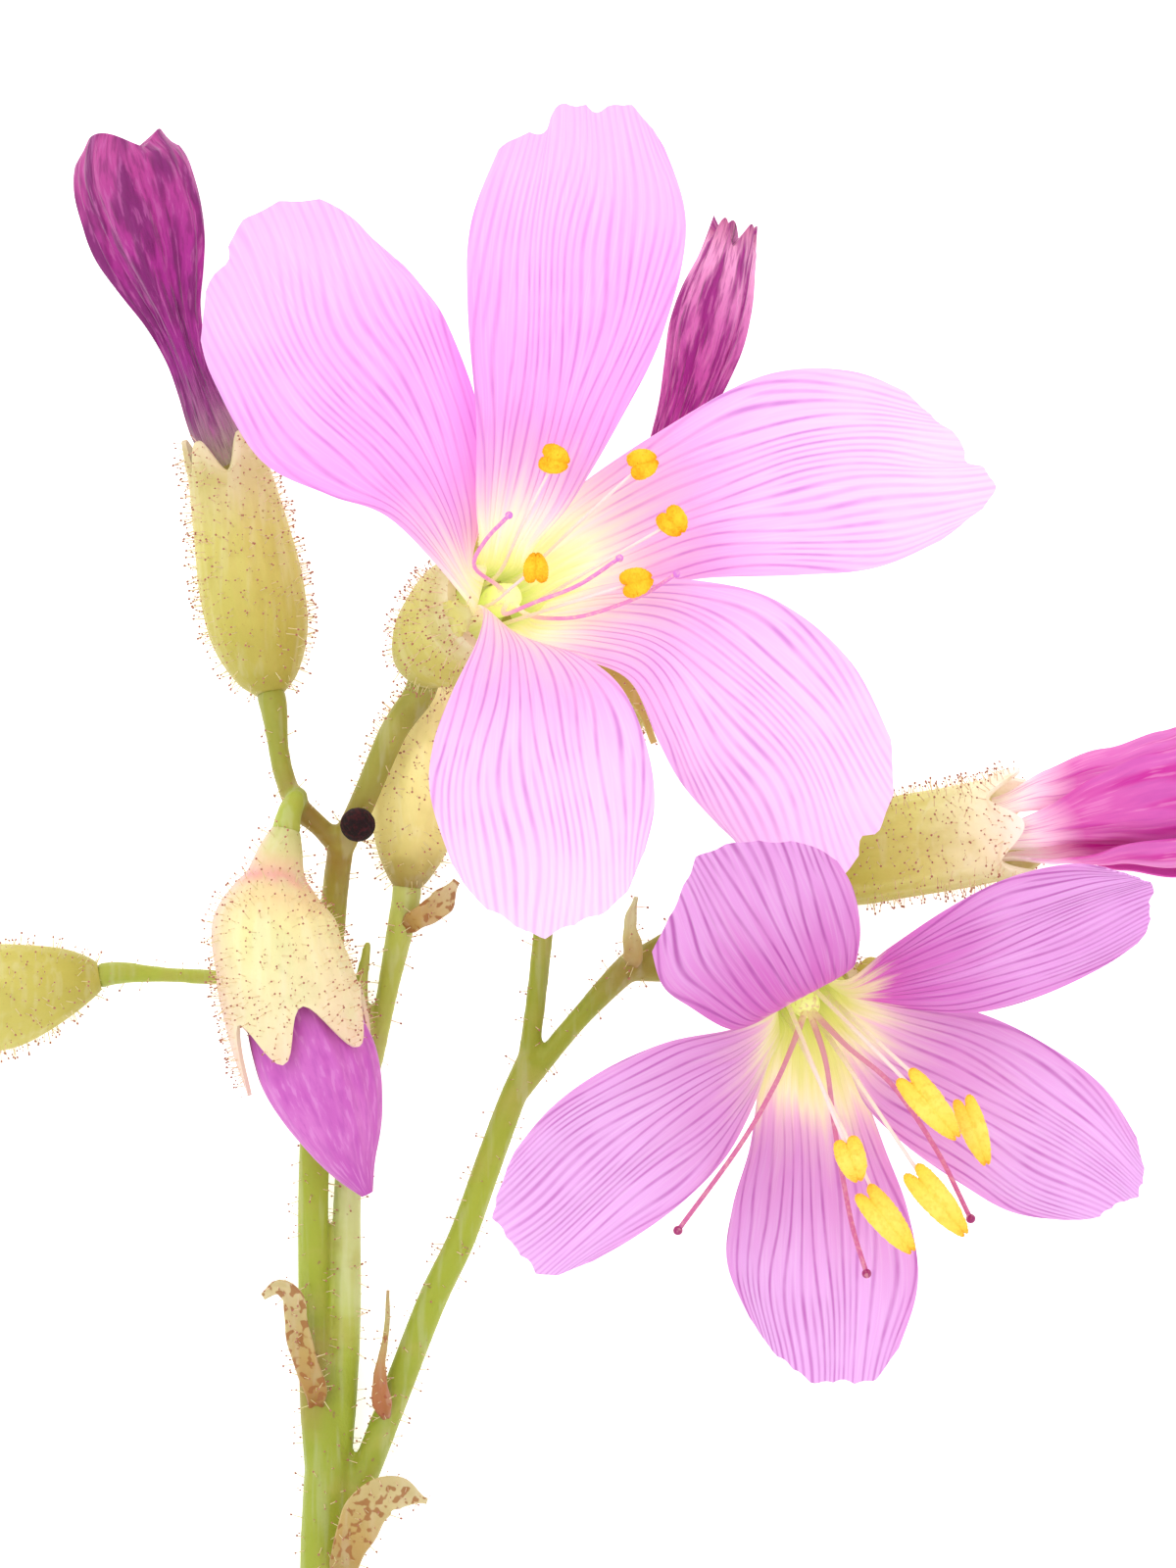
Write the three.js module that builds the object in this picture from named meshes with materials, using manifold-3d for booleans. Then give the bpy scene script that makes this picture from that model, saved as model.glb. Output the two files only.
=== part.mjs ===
// Cut flower spray of a king sundew, lying on its back: stalk, buds, spent flowers and three open flowers.
// Millimetres, +Z up from the surface that it lies on. Points are given on a sheet: x runs to the right,
// y runs up the spray and z is the height. The finished group is then centred.
import * as THREE from "three";
import { mergeVertices } from "three/addons/utils/BufferGeometryUtils.js";
import Module from "manifold-3d";

const wasm = await Module();
wasm.setup();

// Driving dimensions
const SHEET_CENTRE = { x: 38.01, y: 35.67 };
const SEAM = 0.3;
const PETAL_THICKNESS = 0.66;
const LOBES = 5;
const TURN = 2 * Math.PI;
const LOBE_ANGLE = TURN / LOBES;

const STEM_SIDES = 8;
const STALK_RADIUS = 1.62;
const UPPER_STEM_RADIUS = 1.0;
const BRANCH_RADIUS = 0.95;
const PEDICEL_RADIUS = 0.68;
const THIN_PEDICEL_RADIUS = 0.5;
const PEDICEL_HEAD_RADIUS = 1.0;
const BEAD_RADIUS = 1.1;

const CALYX_SIDES = 20;
const FOOT_RADIUS = 2.55;
const FOOT_DEPTH = 6.3;
const FOOT_HALF_ANGLE = 29;
const COLLAR_RADIUS = 2.65;
const COLLAR_DEPTH = 3.6;
const COLLAR_HALF_ANGLE = 27;
const RECEPTACLE_RADIUS = 1.6;
const OVARY_RADIUS = 1.0;
const FILAMENT_CIRCLE = 1.62;
const FILAMENT_RADIUS = 0.27;
const STYLE_RADIUS = 0.27;
const STIGMA_RADIUS = 0.4;
const THREAD_SIDES = 5;

// Colours
const STEM_GREEN = "#b0be44";
const CALYX_GREEN = "#cfc76a";
const BRACT_CREAM = "#e8d8a4";
const PALE_PINK = "#f8c3f8";
const MAUVE = "#e286dc";
const WITHERED_MAGENTA = "#a93296";
const ANTHER_YELLOW = "#ffca28";
const FILAMENT_CREAM = "#f6e3d8";
const PISTIL_PINK = "#d2708e";
const BEAD_BLACK = "#1a0508";

// Materials
const skin = (color, roughness) => new THREE.MeshStandardMaterial({ color, roughness, metalness: 0 });
const stemSkin = () => skin(STEM_GREEN, 0.5);
const calyxSkin = () => skin(CALYX_GREEN, 0.6);
const bractSkin = () => skin(BRACT_CREAM, 0.7);
const palePetalSkin = () => skin(PALE_PINK, 0.55);
const mauvePetalSkin = () => skin(MAUVE, 0.55);
const witheredSkin = () => skin(WITHERED_MAGENTA, 0.6);
const antherSkin = () => skin(ANTHER_YELLOW, 0.8);
const filamentSkin = () => skin(FILAMENT_CREAM, 0.5);
const pistilSkin = () => skin(PISTIL_PINK, 0.5);
const beadSkin = () => skin(BEAD_BLACK, 0.3);

// Points and curves
const vector = (point) => new THREE.Vector3(...point);
const curveThrough = (points) => new THREE.CatmullRomCurve3(points.map(vector), false, "catmullrom", 0.5);
const smooth = (t) => t * t * (3 - 2 * t);
const hump = (angle) => 0.5 + 0.5 * Math.cos(angle);

// A value read from evenly spaced stations, eased between them.
function along(values, t) {
  const place = Math.min(Math.max(t, 0), 1) * (values.length - 1);
  const index = Math.min(Math.floor(place), values.length - 2);
  return THREE.MathUtils.lerp(values[index], values[index + 1], smooth(place - index));
}

// Closed meshes, booleans and their way back to a three.js geometry
function closed(geometry) {
  const bare = geometry.index ? geometry.toNonIndexed() : geometry.clone();
  bare.deleteAttribute("normal");
  bare.deleteAttribute("uv");
  const merged = mergeVertices(bare, 1e-3);
  const kept = [];
  const index = merged.index.array;
  for (let i = 0; i < index.length; i += 3) {
    const [a, b, c] = [index[i], index[i + 1], index[i + 2]];
    if (a !== b && b !== c && c !== a) kept.push(a, b, c);
  }
  merged.setIndex(kept);
  if (signedVolume(merged) < 0) merged.setIndex(kept.reverse());
  return merged;
}

function signedVolume(geometry) {
  const position = geometry.attributes.position;
  const index = geometry.index.array;
  const corner = [new THREE.Vector3(), new THREE.Vector3(), new THREE.Vector3()];
  let six = 0;
  for (let i = 0; i < index.length; i += 3) {
    corner.forEach((v, k) => v.fromBufferAttribute(position, index[i + k]));
    six += corner[0].dot(corner[1].clone().cross(corner[2]));
  }
  return six / 6;
}

function solid(geometry) {
  const merged = closed(geometry);
  const triVerts = new Uint32Array(merged.index.array);
  return new wasm.Manifold(
    new wasm.Mesh({ numProp: 3, vertProperties: merged.attributes.position.array, triVerts })
  );
}

function geometryOf(manifold) {
  const mesh = manifold.getMesh();
  const geometry = new THREE.BufferGeometry();
  geometry.setAttribute("position", new THREE.BufferAttribute(mesh.vertProperties, 3));
  geometry.setIndex(new THREE.BufferAttribute(mesh.triVerts, 1));
  geometry.computeVertexNormals();
  return geometry;
}

const fused = (geometries) => geometryOf(geometries.map(solid).reduce((sum, next) => sum.add(next)));

// What lies on the table is flattened where it touches it.
function restingOnTable(geometry) {
  const below = new THREE.BoxGeometry(400, 400, 20);
  below.translate(0, 0, -10);
  return geometryOf(solid(geometry).subtract(solid(below)));
}

// Bends a shape that was made along Y, from 0 to 1, so that Y follows the curve.
// Its X then lies level across the curve and its Z stands on it, rolled by the angle given.
function bent(geometry, curve, { squash = 1, roll = 0 } = {}) {
  const shape = geometry.clone();
  const position = shape.attributes.position;
  const up = new THREE.Vector3(0, 0, 1);
  for (let i = 0; i < position.count; i += 1) {
    const t = Math.min(Math.max(position.getY(i), 0), 1);
    const tangent = curve.getTangentAt(t);
    const side = new THREE.Vector3().crossVectors(tangent, up).normalize();
    const lift = new THREE.Vector3().crossVectors(side, tangent);
    const x = position.getX(i);
    const z = position.getZ(i) * squash;
    const across = x * Math.cos(roll) - z * Math.sin(roll);
    const above = x * Math.sin(roll) + z * Math.cos(roll);
    const point = curve.getPointAt(t).addScaledVector(side, across).addScaledVector(lift, above);
    position.setXYZ(i, point.x, point.y, point.z);
  }
  return shape;
}

// A stem or pedicel: a round rod along a curve, with a radius that eases between its stations.
function rod(points, radii, { steps = 10, sides = STEM_SIDES } = {}) {
  const shape = new THREE.CylinderGeometry(1, 1, 1, sides, steps);
  shape.translate(0, 0.5, 0);
  const position = shape.attributes.position;
  for (let i = 0; i < position.count; i += 1) {
    const radius = along(radii, position.getY(i));
    position.setXYZ(i, position.getX(i) * radius, position.getY(i), position.getZ(i) * radius);
  }
  return bent(shape, curveThrough(points), {});
}

// The height of an uneven rim, whose tips are given as [angle, half width, height] in degrees and shares.
function tipHeight(angle, tips) {
  const heights = tips.map(([at, halfWidth, height]) => {
    const turn = THREE.MathUtils.euclideanModulo(THREE.MathUtils.radToDeg(angle) - at + 180, 360);
    return height * hump(Math.PI * Math.min(1, Math.abs(turn - 180) / halfWidth));
  });
  return Math.max(...heights);
}

const NOTCH_FLOOR = 0.08;

// A turned form along a curve: profile points are [radius, share of the length].
// Its rim may be cut into lobes or tips above the share rimFrom, and its sides may be pleated.
function turned(points, profile, options = {}) {
  const { sides = CALYX_SIDES, rimFrom = 1, pleats = 0, twist = 0, phase = 0, tips } = options;
  const shape = new THREE.LatheGeometry(profile.map(([r, t]) => new THREE.Vector2(r, t)), sides);
  const position = shape.attributes.position;
  for (let i = 0; i < position.count; i += 1) {
    const [x, t, z] = [position.getX(i), position.getY(i), position.getZ(i)];
    const angle = Math.atan2(x, z) + phase;
    const lobe = tips ? tipHeight(angle, tips) : hump(LOBES * angle);
    const height = t > rimFrom ? rimFrom + (t - rimFrom) * (NOTCH_FLOOR + (1 - NOTCH_FLOOR) * lobe) : t;
    const pleat = 1 + pleats * Math.cos(LOBES * angle + twist * t) * Math.sin(Math.PI * t);
    position.setXYZ(i, x * pleat, height, z * pleat);
  }
  return bent(shape, curveThrough(points), options);
}

// A leaf-like strap along a curve: a bract or a sepal's blade.
function strap(points, halfWidths, { thickness = 0.62, roll = 0, steps = 8, across = 4, cup = 0.35 } = {}) {
  const shape = new THREE.BoxGeometry(2, 1, thickness, across, steps, 1);
  shape.translate(0, 0.5, 0);
  const position = shape.attributes.position;
  for (let i = 0; i < position.count; i += 1) {
    const t = position.getY(i);
    const w = position.getX(i);
    const half = along(halfWidths, t);
    position.setXYZ(i, w * half, t, position.getZ(i) + cup * half * w * w);
  }
  return bent(shape, curveThrough(points), { roll });
}

// Petals
// A petal's surface between its left and right edges, each a line of as many points, and its top edge, which
// is drawn on the sheet. The crown is how far its middle stands above its edges.
function petalSurface({ left, right, top, crown = -0.5, ripple = 0.2 }) {
  const leftEdge = curveThrough(left);
  const rightEdge = curveThrough(right);
  const [leftEnd, rightEnd] = [left[left.length - 1], right[right.length - 1]];
  const topEdge = new THREE.SplineCurve([leftEnd, ...top, rightEnd].map(([x, y]) => new THREE.Vector2(x, y)));
  return (u, v) => {
    const w = 2 * v - 1;
    const point = leftEdge.getPoint(u).lerp(rightEdge.getPoint(u), v);
    const tip = topEdge.getPointAt(v);
    point.x += u ** 5 * (tip.x - THREE.MathUtils.lerp(leftEnd[0], rightEnd[0], v));
    point.y += u ** 5 * (tip.y - THREE.MathUtils.lerp(leftEnd[1], rightEnd[1], v));
    const arch = crown * (1 - w * w) * Math.min(1, 2.5 * u * u);
    const wave = ripple * u * u * w * w * Math.sin(TURN * (1.6 * u + 0.3 * w));
    point.z += arch + wave;
    return point;
  };
}

// A blade of even thickness on such a surface, split into triangles alike on both faces.
function blade(surface, { across = 8, lengthwise = 10, thickness = PETAL_THICKNESS } = {}) {
  const sheet = new THREE.PlaneGeometry(1, 1, across, lengthwise);
  const position = sheet.attributes.position;
  for (let i = 0; i < position.count; i += 1) {
    const point = surface(position.getY(i) + 0.5, position.getX(i) + 0.5);
    position.setXYZ(i, point.x, point.y, point.z);
  }
  sheet.computeVertexNormals();
  return thickened(sheet, across, lengthwise, thickness);
}

function thickened(sheet, across, lengthwise, thickness) {
  const { position, normal } = sheet.attributes;
  const count = position.count;
  const both = new Float32Array(count * 6);
  for (let i = 0; i < count; i += 1) {
    const middle = new THREE.Vector3().fromBufferAttribute(position, i);
    const out = new THREE.Vector3().fromBufferAttribute(normal, i).multiplyScalar(thickness / 2);
    middle.clone().add(out).toArray(both, i * 3);
    middle.clone().sub(out).toArray(both, (count + i) * 3);
  }
  const faces = [];
  const index = sheet.index.array;
  for (let i = 0; i < index.length; i += 3) {
    const [a, b, c] = [index[i], index[i + 1], index[i + 2]];
    faces.push(a, b, c, count + a, count + c, count + b);
  }
  const rim = rimOf(across, lengthwise);
  rim.forEach((from, i) => {
    const to = rim[(i + 1) % rim.length];
    faces.push(from, to, count + from, to, count + to, count + from);
  });
  const shape = new THREE.BufferGeometry();
  shape.setAttribute("position", new THREE.BufferAttribute(both, 3));
  shape.setIndex(faces);
  return geometryOf(solid(shape));
}

// The vertices round the edge of a plane's grid, in order.
function rimOf(across, lengthwise) {
  const row = across + 1;
  const rim = [];
  for (let i = 0; i < across; i += 1) rim.push(i);
  for (let j = 0; j < lengthwise; j += 1) rim.push(j * row + across);
  for (let i = across; i > 0; i -= 1) rim.push(lengthwise * row + i);
  for (let j = lengthwise; j > 0; j -= 1) rim.push(j * row);
  return rim;
}

// The frame of an open flower: its throat, and the way that it faces.
// Angles are taken round its axis from the side that it leans to, anticlockwise as seen from above.
function flowerFrame({ throat, leanTo, lean }) {
  const across = THREE.MathUtils.degToRad(leanTo);
  const tilt = THREE.MathUtils.degToRad(lean);
  const axis = new THREE.Vector3(
    Math.sin(tilt) * Math.cos(across), Math.sin(tilt) * Math.sin(across), Math.cos(tilt)
  );
  const side = new THREE.Vector3(-Math.sin(across), Math.cos(across), 0);
  const down = new THREE.Vector3().crossVectors(side, axis);
  return (degrees, radius, depth) => {
    const angle = THREE.MathUtils.degToRad(degrees);
    return vector(throat).addScaledVector(axis, -depth).addScaledVector(down, radius * Math.cos(angle))
      .addScaledVector(side, radius * Math.sin(angle)).toArray();
  };
}

// A petal of an open flower: its foot stands inside the calyx, and its collar where it leaves the calyx.
function flowerPetal(at, { angle, left, right, ...rest }) {
  const claw = (side) => [
    at(angle + side * FOOT_HALF_ANGLE, FOOT_RADIUS, FOOT_DEPTH),
    at(angle + side * COLLAR_HALF_ANGLE, COLLAR_RADIUS, COLLAR_DEPTH),
  ];
  return blade(petalSurface({ left: [...claw(1), ...left], right: [...claw(-1), ...right], ...rest }));
}

// Open flowers
const FLOWER_1 = {
  at: flowerFrame({ throat: [34.2, 62.6, 19], leanTo: 22, lean: 35 }),
  petals: {
    upper_left: {
      angle: 144, crown: 0.8,
      left: [[29.4, 62.1, 19.2], [25.0, 66.8, 21.5], [21.1, 68.3, 22.8], [16.8, 70.5, 24], [13.8, 75.6, 25],
        [12.9, 78.6, 25.2]],
      right: [[30.1, 64.3, 17.8], [31.0, 68.1, 19.2], [30.6, 73.5, 20.3], [28.6, 79.1, 22], [27.0, 81.5, 23],
        [25.4, 83.2, 24]],
      top: [[13.6, 82.1], [14.8, 83.2], [14.8, 84.4], [16.8, 86.4], [19.2, 87.1], [21.8, 86.4]],
    },
    upper: {
      angle: 72, crown: -0.8,
      left: [[30.6, 65.5, 20.0], [30.4, 68.0, 20.8], [30.4, 73.5, 22.6], [29.9, 79.9, 23.8],
        [30.1, 85.5, 23.6], [32.3, 91.3, 22.4]],
      right: [[34.2, 65.2, 18.8], [36.4, 67.8, 20], [39.5, 73.0, 21.8], [42.2, 78.5, 22.8],
        [43.7, 85.5, 22.8], [41.8, 91.8, 21.8]],
      top: [[33.8, 91.4], [34.9, 91.6], [35.5, 92.9], [37.1, 93.2], [38.1, 92.8], [40.2, 93.1]],
    },
    right: {
      angle: 0, crown: -0.6,
      left: [[33.9, 65.6, 16.7], [36.4, 68.5, 17.3], [42.1, 72.4, 17.4], [48.5, 75.9, 16.4],
        [54.0, 76.3, 14.6], [58.4, 74.7, 12.6]],
      right: [[36.4, 61.9, 15.9], [40.2, 62.3, 15.7], [45.0, 63.1, 15.2], [50.9, 63.3, 14.6],
        [56.0, 63.8, 13.2], [61.2, 66.1, 11.6]],
      top: [[59.6, 73.4], [61.1, 72.1], [61.8, 70.6], [63.1, 70.0], [63.3, 68.3]],
    },
    lower_right: {
      angle: -72, crown: -0.4,
      left: [[35.4, 61.7, 17.4], [39.5, 62.8, 18.6], [44.4, 62.9, 19.2], [49.5, 61.6, 19.2],
        [54.2, 57.7, 18.2], [57.3, 51.6, 16.6]],
      right: [[34.0, 58.6, 17.4], [37.2, 57.9, 18.6], [40.2, 56.5, 19.6], [41.9, 52.9, 19.6],
        [43.6, 49.8, 19], [46.5, 46.7, 18]],
      top: [[56.9, 48.6], [55.8, 46.9], [54.9, 46.5], [54.2, 44.1], [51.2, 43.6], [48.4, 44.7]],
    },
    lower: {
      angle: -144, crown: 0.3,
      left: [[33.8, 58.7, 19.2], [36.8, 58.2, 20.6], [39.5, 56.2, 22.3], [41.1, 52.7, 24.6],
        [41.7, 48.8, 26.4], [40.9, 45.0, 27]],
      right: [[30.9, 60.9, 18.9], [30.4, 58.9, 20.4], [28.9, 55.8, 22.8], [27.7, 52.4, 25],
        [27.6, 49.0, 26.6], [29.3, 43.9, 27.4]],
      top: [[39.6, 42.6], [36.8, 41.1], [34.9, 40.2], [33.2, 40.9], [30.8, 42.2]],
    },
  },
  sepals: {
    plain: [36, 108, 180, -36],
    shown: {
      angle: -108, points: [[34.6, 57.6, 15.8], [38.6, 57.4, 16.4], [40.7, 55.0, 16.8], [41.7, 52.6, 16.8]],
    },
  },
  anthers: [
    { angle: 108, centre: [35.4, 70.5, 23.6], along: [0.6, -0.2, 0], radius: 0.75, rise: 0.2 },
    { angle: 36, centre: [41.0, 70.3, 20.6], along: [0.6, 0.2, 0], radius: 0.78 },
    { angle: -36, centre: [42.9, 66.6, 19.8], along: [0.4, -0.5, 0], radius: 0.75, rise: 0.14 },
    { angle: 180, centre: [34.2, 63.7, 20.8], along: [0, 0.7, 0], radius: 0.62 },
    { angle: -108, centre: [40.6, 62.8, 21.8], along: [0.7, 0.2, 0], radius: 0.72, rise: 0.15 },
  ],
  styles: [
    [[31.75, 62.6, 18.0], [30.3, 63.8, 20.9], [31.0, 65.4, 22.0], [32.5, 67.0, 22.8]],
    [[32.2, 60.8, 18.3], [34.1, 61.5, 20.4], [36.9, 62.6, 21.2], [39.5, 64.3, 21.6]],
    [[33.55, 60.8, 16.95], [35.4, 60.5, 18.85], [37.6, 60.75, 19.6], [40.8, 61.9, 20.2], [43.1, 63.3, 20.5]],
  ],
};

const FLOWER_2 = {
  at: flowerFrame({ throat: [52.5, 34.4, 15.5], leanTo: -55, lean: 35 }),
  petals: {
    upper_left: {
      angle: 180, crown: 0.5,
      left: [[49.3, 36.0, 17.4], [47.6, 34.7, 19.4], [46.2, 34.6, 21.8], [44.0, 35.9, 23.6],
        [42.2, 37.3, 24.6], [41.4, 40.0, 25]],
      right: [[52.7, 37.8, 17.6], [54.0, 38.2, 19.4], [54.5, 39.0, 21.4], [54.7, 41.0, 23.2],
        [54.2, 43.5, 24.2], [52.9, 45.6, 24.4]],
      top: [[42.8, 42.0], [43.8, 44.2], [44.4, 45.6], [45.9, 46.1], [47.6, 46.4], [50.9, 46.4]],
    },
    upper_right: {
      angle: 108, crown: -0.5,
      left: [[53.7, 37.5, 16.4], [56.6, 39.6, 18.4], [60.3, 42.1, 20.4], [64.0, 44.0, 21.8],
        [67.9, 44.9, 22.8], [70.8, 44.6, 23.2]],
      right: [[55.0, 36.3, 16.2], [58.0, 35.7, 17.4], [62.0, 35.5, 18.8], [66.0, 36.5, 20], [70.1, 38.4, 21],
        [73.0, 40.4, 21.6]],
      top: [[72.5, 44.0], [73.4, 43.6], [73.1, 42.6], [73.2, 41.9]],
    },
    lower_right: {
      angle: 36, crown: -0.5,
      left: [[54.9, 36.8, 14.2], [58.3, 36.3, 14.5], [62.5, 35.4, 14.6], [66.5, 33.5, 14.2],
        [70.3, 30.7, 13.2], [73.0, 26.5, 12]],
      right: [[53.9, 32.2, 13.9], [55.3, 29.4, 14.2], [57.9, 26.9, 14.2], [61.2, 24.6, 13.6],
        [64.6, 22.7, 12.8], [68.9, 22.1, 11.6]],
      top: [[72.9, 24.7], [72.6, 23.6], [71.6, 23.4], [70.3, 22.5]],
    },
    lower: {
      angle: -36, crown: -0.4,
      left: [[54.1, 32.7, 12.2], [55.1, 30.3, 12.6], [56.4, 26.8, 12.9], [57.9, 22.7, 12.6],
        [58.5, 18.0, 11.8], [56.9, 12.9, 10.6]],
      right: [[48.9, 32.9, 13.2], [48.3, 30.2, 13.5], [47.8, 26.8, 13.6], [46.7, 23.0, 13.2],
        [46.4, 19.3, 12.4], [48.3, 14.9, 11]],
      top: [[56.0, 12.1], [54.6, 11.7], [53.1, 11.8], [51.6, 11.9], [49.9, 13.2]],
    },
    lower_left: {
      angle: -108, crown: -0.4,
      left: [[49.0, 32.4, 15.4], [47.9, 29.4, 17.2], [46.2, 26.3, 18.6], [43.6, 23.6, 20], [40.6, 21.4, 21],
        [37.0, 19.4, 21.6]],
      right: [[48.9, 35.3, 16.0], [46.6, 34.4, 17.6], [42.5, 33.6, 19.4], [38.4, 31.8, 20.8],
        [35.0, 29.3, 21.6], [32.2, 25.8, 22]],
      top: [[35.6, 18.9], [34.2, 18.9], [33.4, 19.9], [32.5, 21.1], [31.4, 22.3], [31.6, 23.4]],
    },
  },
  sepals: {
    plain: [0, 72, -72, -144],
    shown: { angle: 144, points: [[53.4, 39.0, 15.6], [54.6, 40.2, 17.4]] },
  },
  anthers: [
    { angle: -144, centre: [54.2, 26.2, 21.4], along: [0.35, -1.1, 0], radius: 0.7 },
    { angle: -72, centre: [56.5, 22.3, 19.2], along: [1.4, -1.75, 0], radius: 0.72 },
    { angle: 0, centre: [59.7, 23.5, 19.8], along: [1.55, -1.85, 0], radius: 0.72, rise: 0.12 },
    { angle: 144, centre: [59.2, 29.6, 21.6], along: [1.5, -1.8, 0], radius: 0.75 },
    { angle: 72, centre: [62.0, 28.0, 19.0], along: [0.7, -1.9, 0], radius: 0.62, rise: 0.24 },
  ],
  styles: [
    [[50.5, 33.4, 15.4], [49.2, 30.6, 18.6], [47.0, 26.9, 19.6], [43.2, 21.7, 19.8]],
    [[52.6, 32.4, 14.8], [53.2, 28.0, 15.3], [54.2, 22.3, 16.2], [55.2, 18.9, 16.4]],
    [[54.0, 33.3, 15.6], [56.8, 30.9, 16.8], [59.6, 26.8, 17.3], [61.8, 22.4, 17.0]],
  ],
};

// Middle lines of the calyces, from foot to mouth
const BELL_MOUTH_DEPTH = 4.3;
const CALYX_LINES = {
  flower_1: [
    [27.0, 56.7, 7.7], [27.5, 58.2, 8.8], [28.8, 59.8, 10.6],
    FLOWER_1.at(0, 0, 8), FLOWER_1.at(0, 0, BELL_MOUTH_DEPTH),
  ],
  flower_2: [[47.6, 41.4, 4.1], [48.5, 40.3, 6.0], FLOWER_2.at(0, 0, 8), FLOWER_2.at(0, 0, BELL_MOUTH_DEPTH)],
  flower_3: [[50.6, 43.9, 2.8], [53.4, 45.0, 2.9], [57.2, 45.9, 3.1], [61.2, 46.6, 3.7], [66.0, 47.6, 4.6]],
  spent_left: [[17.2, 55.8, 4.4], [16.4, 60.0, 3.5], [15.5, 65.0, 3.2], [14.6, 69.4, 3.4], [13.8, 72.5, 3.8]],
  spent_right: [
    [37.1, 50.5, 3.2], [37.9, 54.1, 3.1], [39.1, 58.1, 3.1], [40.2, 62.2, 3.1], [41.1, 65.8, 3.3],
  ],
  nodding: [
    [18.2, 47.0, 7.6], [17.6, 44.2, 8.2], [17.4, 41.2, 8.4], [18.0, 38.1, 8.4], [18.9, 35.0, 8.3],
    [20.1, 31.6, 8.0],
  ],
  far_left: [[6.2, 37.7, 3.0], [3.8, 37.3, 3.0], [0.0, 36.4, 3.1], [-3.8, 35.8, 3.1], [-6.9, 35.3, 3.1]],
  hidden: [[25.9, 43.4, 2.8], [26.3, 46.9, 2.8], [26.9, 50.6, 2.8], [27.5, 54.1, 2.8], [28.0, 57.2, 2.8]],
};

// The end of a pedicel, square to the calyx that it carries and one seam before its foot.
function seatOf(bloom) {
  const curve = curveThrough(CALYX_LINES[bloom]);
  return [SEAM + 1, SEAM].map((back) => (
    curve.getPointAt(0).addScaledVector(curve.getTangentAt(0), -back).toArray()
  ));
}

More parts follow.
